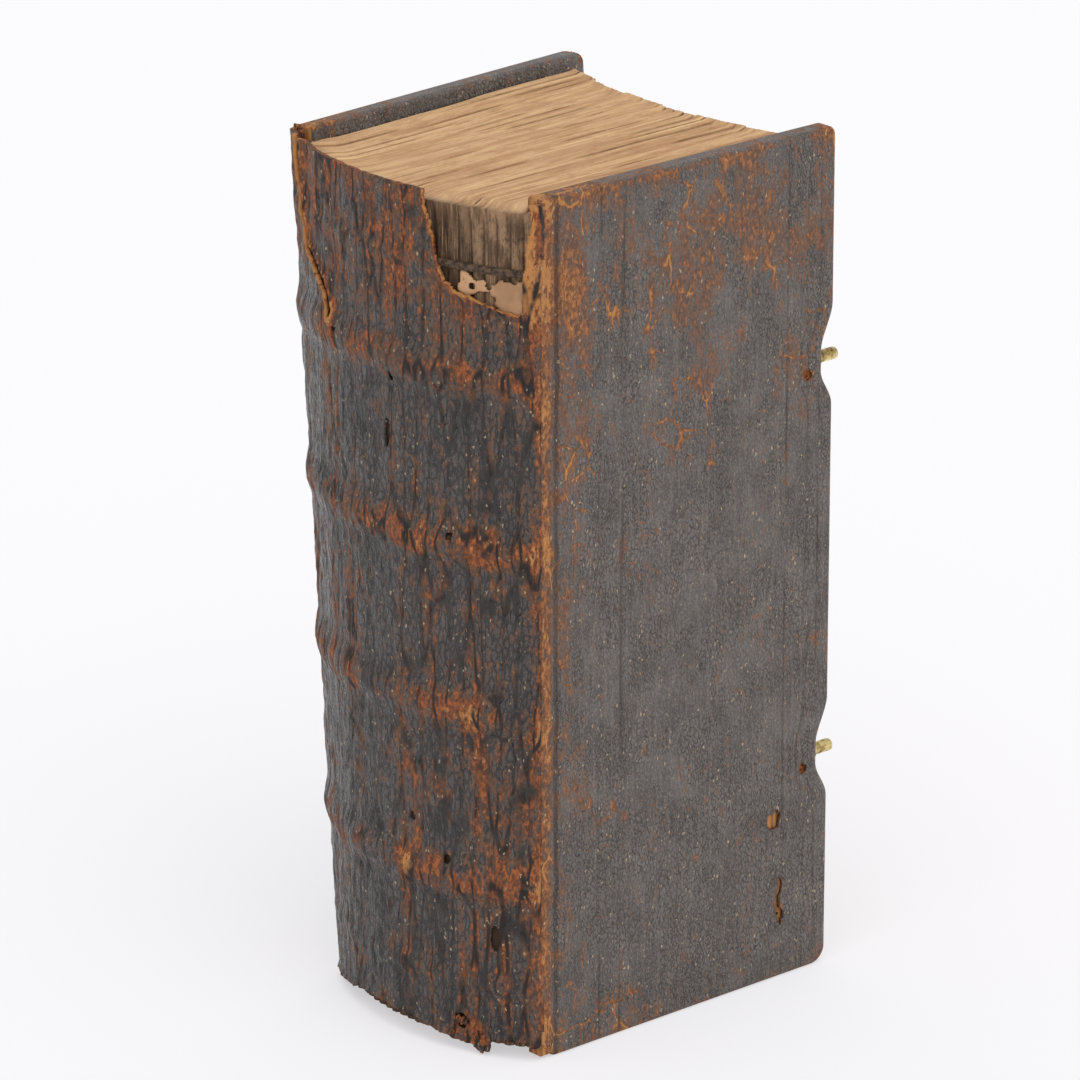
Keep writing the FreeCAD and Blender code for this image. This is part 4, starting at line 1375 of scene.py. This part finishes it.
# %% Torn lining
LINING_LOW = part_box("spine_lining_5")[0][2]
LINING_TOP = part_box("spine_lining_5")[1][2]
LINING_OFFSET = 0.45 * MM
LINING_BITES = (
    ((9.6, 17.6), (7.4, 18.8), (7.0, 21.0), (7.2, 26.0), (11.0, 26.0), (12.4, 19.2), (11.0, 18.4)),
    ((14.4, 13.0), (24.0, 13.0), (24.0, 26.0), (12.6, 26.0), (12.9, 19.4), (14.8, 18.0), (14.0, 16.4)),
    ((0.0, 13.0), (2.0, 15.2), (4.2, 15.9), (6.2, 15.4), (8.0, 17.2), (9.4, 15.8), (11.0, 16.3),
     (12.6, 15.3), (14.0, 13.0)),
)


def torn_lining():
    columns, rows = 150, 50
    bites = [Tear(on_sheet(points, "front"), 0.5, 11.0 + i) for i, points in enumerate(LINING_BITES)]
    bites += [Oval(s, z, 1.4, 1.6) for s, z in on_sheet(((8.6, 17.0), (11.8, 17.3)), "front")]
    form = bmesh.new()
    bmesh.ops.create_grid(form, x_segments=columns, y_segments=rows, size=0.5)
    gaps = form.verts.layers.float.new("inside")
    for vert in form.verts:
        z = LINING_LOW + (LINING_TOP - LINING_LOW) * (vert.co.y + 0.5)
        profile = SpineProfile(z)
        share = 0.5 - vert.co.x
        s = profile.front_lead + share * profile.round
        s, z, gap = pulled_to_rim(bites, s, z, 0.25 * MM)
        z = max(LINING_LOW, min(LINING_TOP, z))
        lifted = 0.3 * MM * (1 - smooth_rise(gap, 0.0, 1.5 * MM)) * noise.noise(Vector((s * 400, z * 400, 1)))
        wave = 0.12 * MM * noise.noise(Vector((s * 260, z * 140, 5)))
        turn = SpineArc(z).front_angle - (s - profile.front_lead) / profile.reach
        vert.co = SpineArc(z).along(turn, LINING_OFFSET + lifted + wave)
        vert[gaps] = gap
    cut_out(form, gaps)
    piece = finish_piece("spine_lining_torn", form, [lining_paper, lining_paper])
    thicken(piece, 0.3 * MM)
    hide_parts("spine_lining_5")
    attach(piece, "book_block")
    return piece


print("torn lining", len(torn_lining().data.polygons), "faces")

# %% [markdown]
# Frayed crumbs. Where leather broke off, small curled bits of fibre still hang on: at the corner
# of the back board, the end of the headcap, the notch of the upper pin and the torn tail. Each bit
# is a ball from the sphere operator, squashed, turned and roughened by noise.

# %% Crumbs


def crumbs(name, body, spots, seed):
    """Spots are (place, spread along a direction, number, size in mm)."""
    dice = random.Random(seed)
    form = bmesh.new()
    for place, spread, number, size in spots:
        for _ in range(number):
            ball = bmesh.ops.create_icosphere(form, subdivisions=3, radius=1.0)["verts"]
            reach = size * MM * dice.uniform(0.5, 1.0)
            flat, long = reach * dice.uniform(0.35, 0.6), reach * dice.uniform(0.9, 1.8)
            squash = Matrix.Diagonal((reach, flat, long, 1))
            tip = Matrix.Rotation(dice.uniform(-0.7, 0.7), 4, "X")
            turn = tip @ Matrix.Rotation(dice.uniform(0, 3), 4, "Z")
            centre = place + spread * dice.uniform(-1, 1)
            for vert in ball:
                rough = 1 + 0.45 * noise.noise(vert.co * 2.2 + centre * 3000)
                vert.co = turn @ (squash @ (vert.co * rough)) + centre
    worn = form.verts.layers.float.new("worn")
    for vert in form.verts:
        vert[worn] = 0.44 + 0.24 * noise.noise(vert.co * 900)
    piece = finish_piece(name, form, [raw_skin])
    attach(piece, body)


def spine_place(away, z, out=0.0):
    profile = SpineProfile(z * MM)
    point, outward = profile.at(profile.from_front(away * MM))
    return point + outward * out * MM


UP, ACROSS = Vector((0, 0, 1)), Vector((1, 0, 0))
head_profile = SpineProfile(162.8 * MM)
headcap_end, headcap_out = head_profile.at(head_profile.from_back(5.3 * MM))
crumbs("frayed_spine", "book_block", (
    (headcap_end - headcap_out * 0.3 * MM, UP * 0.9 * MM, 5, 0.55),
    (cover_point("back", 1.4 * MM, -0.2 * MM, BOARD_HEIGHT - 1.7 * MM), ACROSS * 0.9 * MM, 6, 0.8),
    (cover_point("back", 3.4 * MM, -0.6 * MM, BOARD_HEIGHT - 3.2 * MM), ACROSS * 1.4 * MM, 8, 0.7),
    (spine_place(9.2, 2.6, -0.1), UP * 1.5 * MM, 8, 0.7),
    (spine_place(10.6, 4.2, -0.1), UP * 1.2 * MM, 7, 0.8),
    (spine_place(13.4, 6.0, -0.3), ACROSS * 1.3 * MM, 9, 0.75),
    (spine_place(17.0, 3.6, -0.2), ACROSS * 2.4 * MM, 8, 0.5),
    (spine_place(6.0, 3.4, -0.4), ACROSS * 3.0 * MM, 6, 0.4),
    (spine_place(20.0, 3.4, -0.4), ACROSS * 6.0 * MM, 9, 0.35),
), 5)
corner_edge = cover_point("back", 1.0 * MM, BOARD_DEPTH - 0.5 * MM, BOARD_HEIGHT - 2.0 * MM)
corner_top = cover_point("back", 1.6 * MM, BOARD_DEPTH - 1.2 * MM, BOARD_HEIGHT - 0.6 * MM)
crumbs("frayed_back_corner", "back_cover", (
    (corner_edge, UP * 1.6 * MM, 7, 0.5),
    (corner_top, ACROSS * 1.2 * MM, 5, 0.4),
), 6)
notch_edge = cover_point("front", 0.9 * MM, BOARD_DEPTH - NOTCH_DEPTH, PIN_HEIGHTS[1] + 2.6 * MM)
crumbs("frayed_front_edges", "front_cover", (
    (notch_edge, UP * 0.9 * MM, 5, 0.4),
    (cover_point("front", 0.1 * MM, 2.6 * MM, 142.3 * MM), UP * 0.5 * MM, 2, 0.45),
), 7)
print("crumbs placed")

# %% [markdown]
# The catch pins. Each is a turned brass rod with a small collar, driven into the fore edge. A
# profile spun about the pin's axis is the lathe's way of making it.

# %% Catch pins
PIN_PROFILE = (
    (-8.0, 0.0), (-8.0, 1.2), (-0.02, 1.2), (-0.02, 1.7), (0.15, 1.7), (0.35, 1.62), (0.8, 1.25),
    (1.0, 1.18), (2.6, 1.19), (4.5, 1.2), (4.85, 1.12), (5.08, 0.9), (5.2, 0.5), (5.2, 0.0),
)
PIN_SEAT_Y = front_joint.y + 72 * MM - NOTCH_DEPTH
PIN_X = front_joint.x - COVER_THICKNESS / 2


def turned_pin(name, z):
    """A pin whose profile gives the way along it from the seat, and the radius there, in mm."""
    form = bmesh.new()
    corners = [form.verts.new((0, along * MM, out * MM)) for along, out in PIN_PROFILE]
    edges = [form.edges.new(pair) for pair in zip(corners[:-1], corners[1:])]
    bmesh.ops.spin(form, geom=corners + edges, cent=(0, 0, 0), axis=(0, 1, 0), angle=2 * math.pi,
                   steps=28, use_merge=True)
    bmesh.ops.remove_doubles(form, verts=form.verts, dist=0.003 * MM)
    bmesh.ops.recalc_face_normals(form, faces=form.faces)
    for vert in form.verts:
        dent = 0.03 * MM * noise.noise(vert.co * 1500 + Vector((0, 0, z * 300)))
        vert.co += vert.co.normalized() * dent
    bmesh.ops.translate(form, verts=form.verts, vec=(PIN_X, PIN_SEAT_Y, z))
    piece = finish_piece(name + "_turned", form, [brass])
    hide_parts(name)
    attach(piece, "front_cover")


for name, z in zip(PIN_NAMES, PIN_HEIGHTS):
    turned_pin(name, z)
print("catch pins at", [round(z / MM, 1) for z in PIN_HEIGHTS])
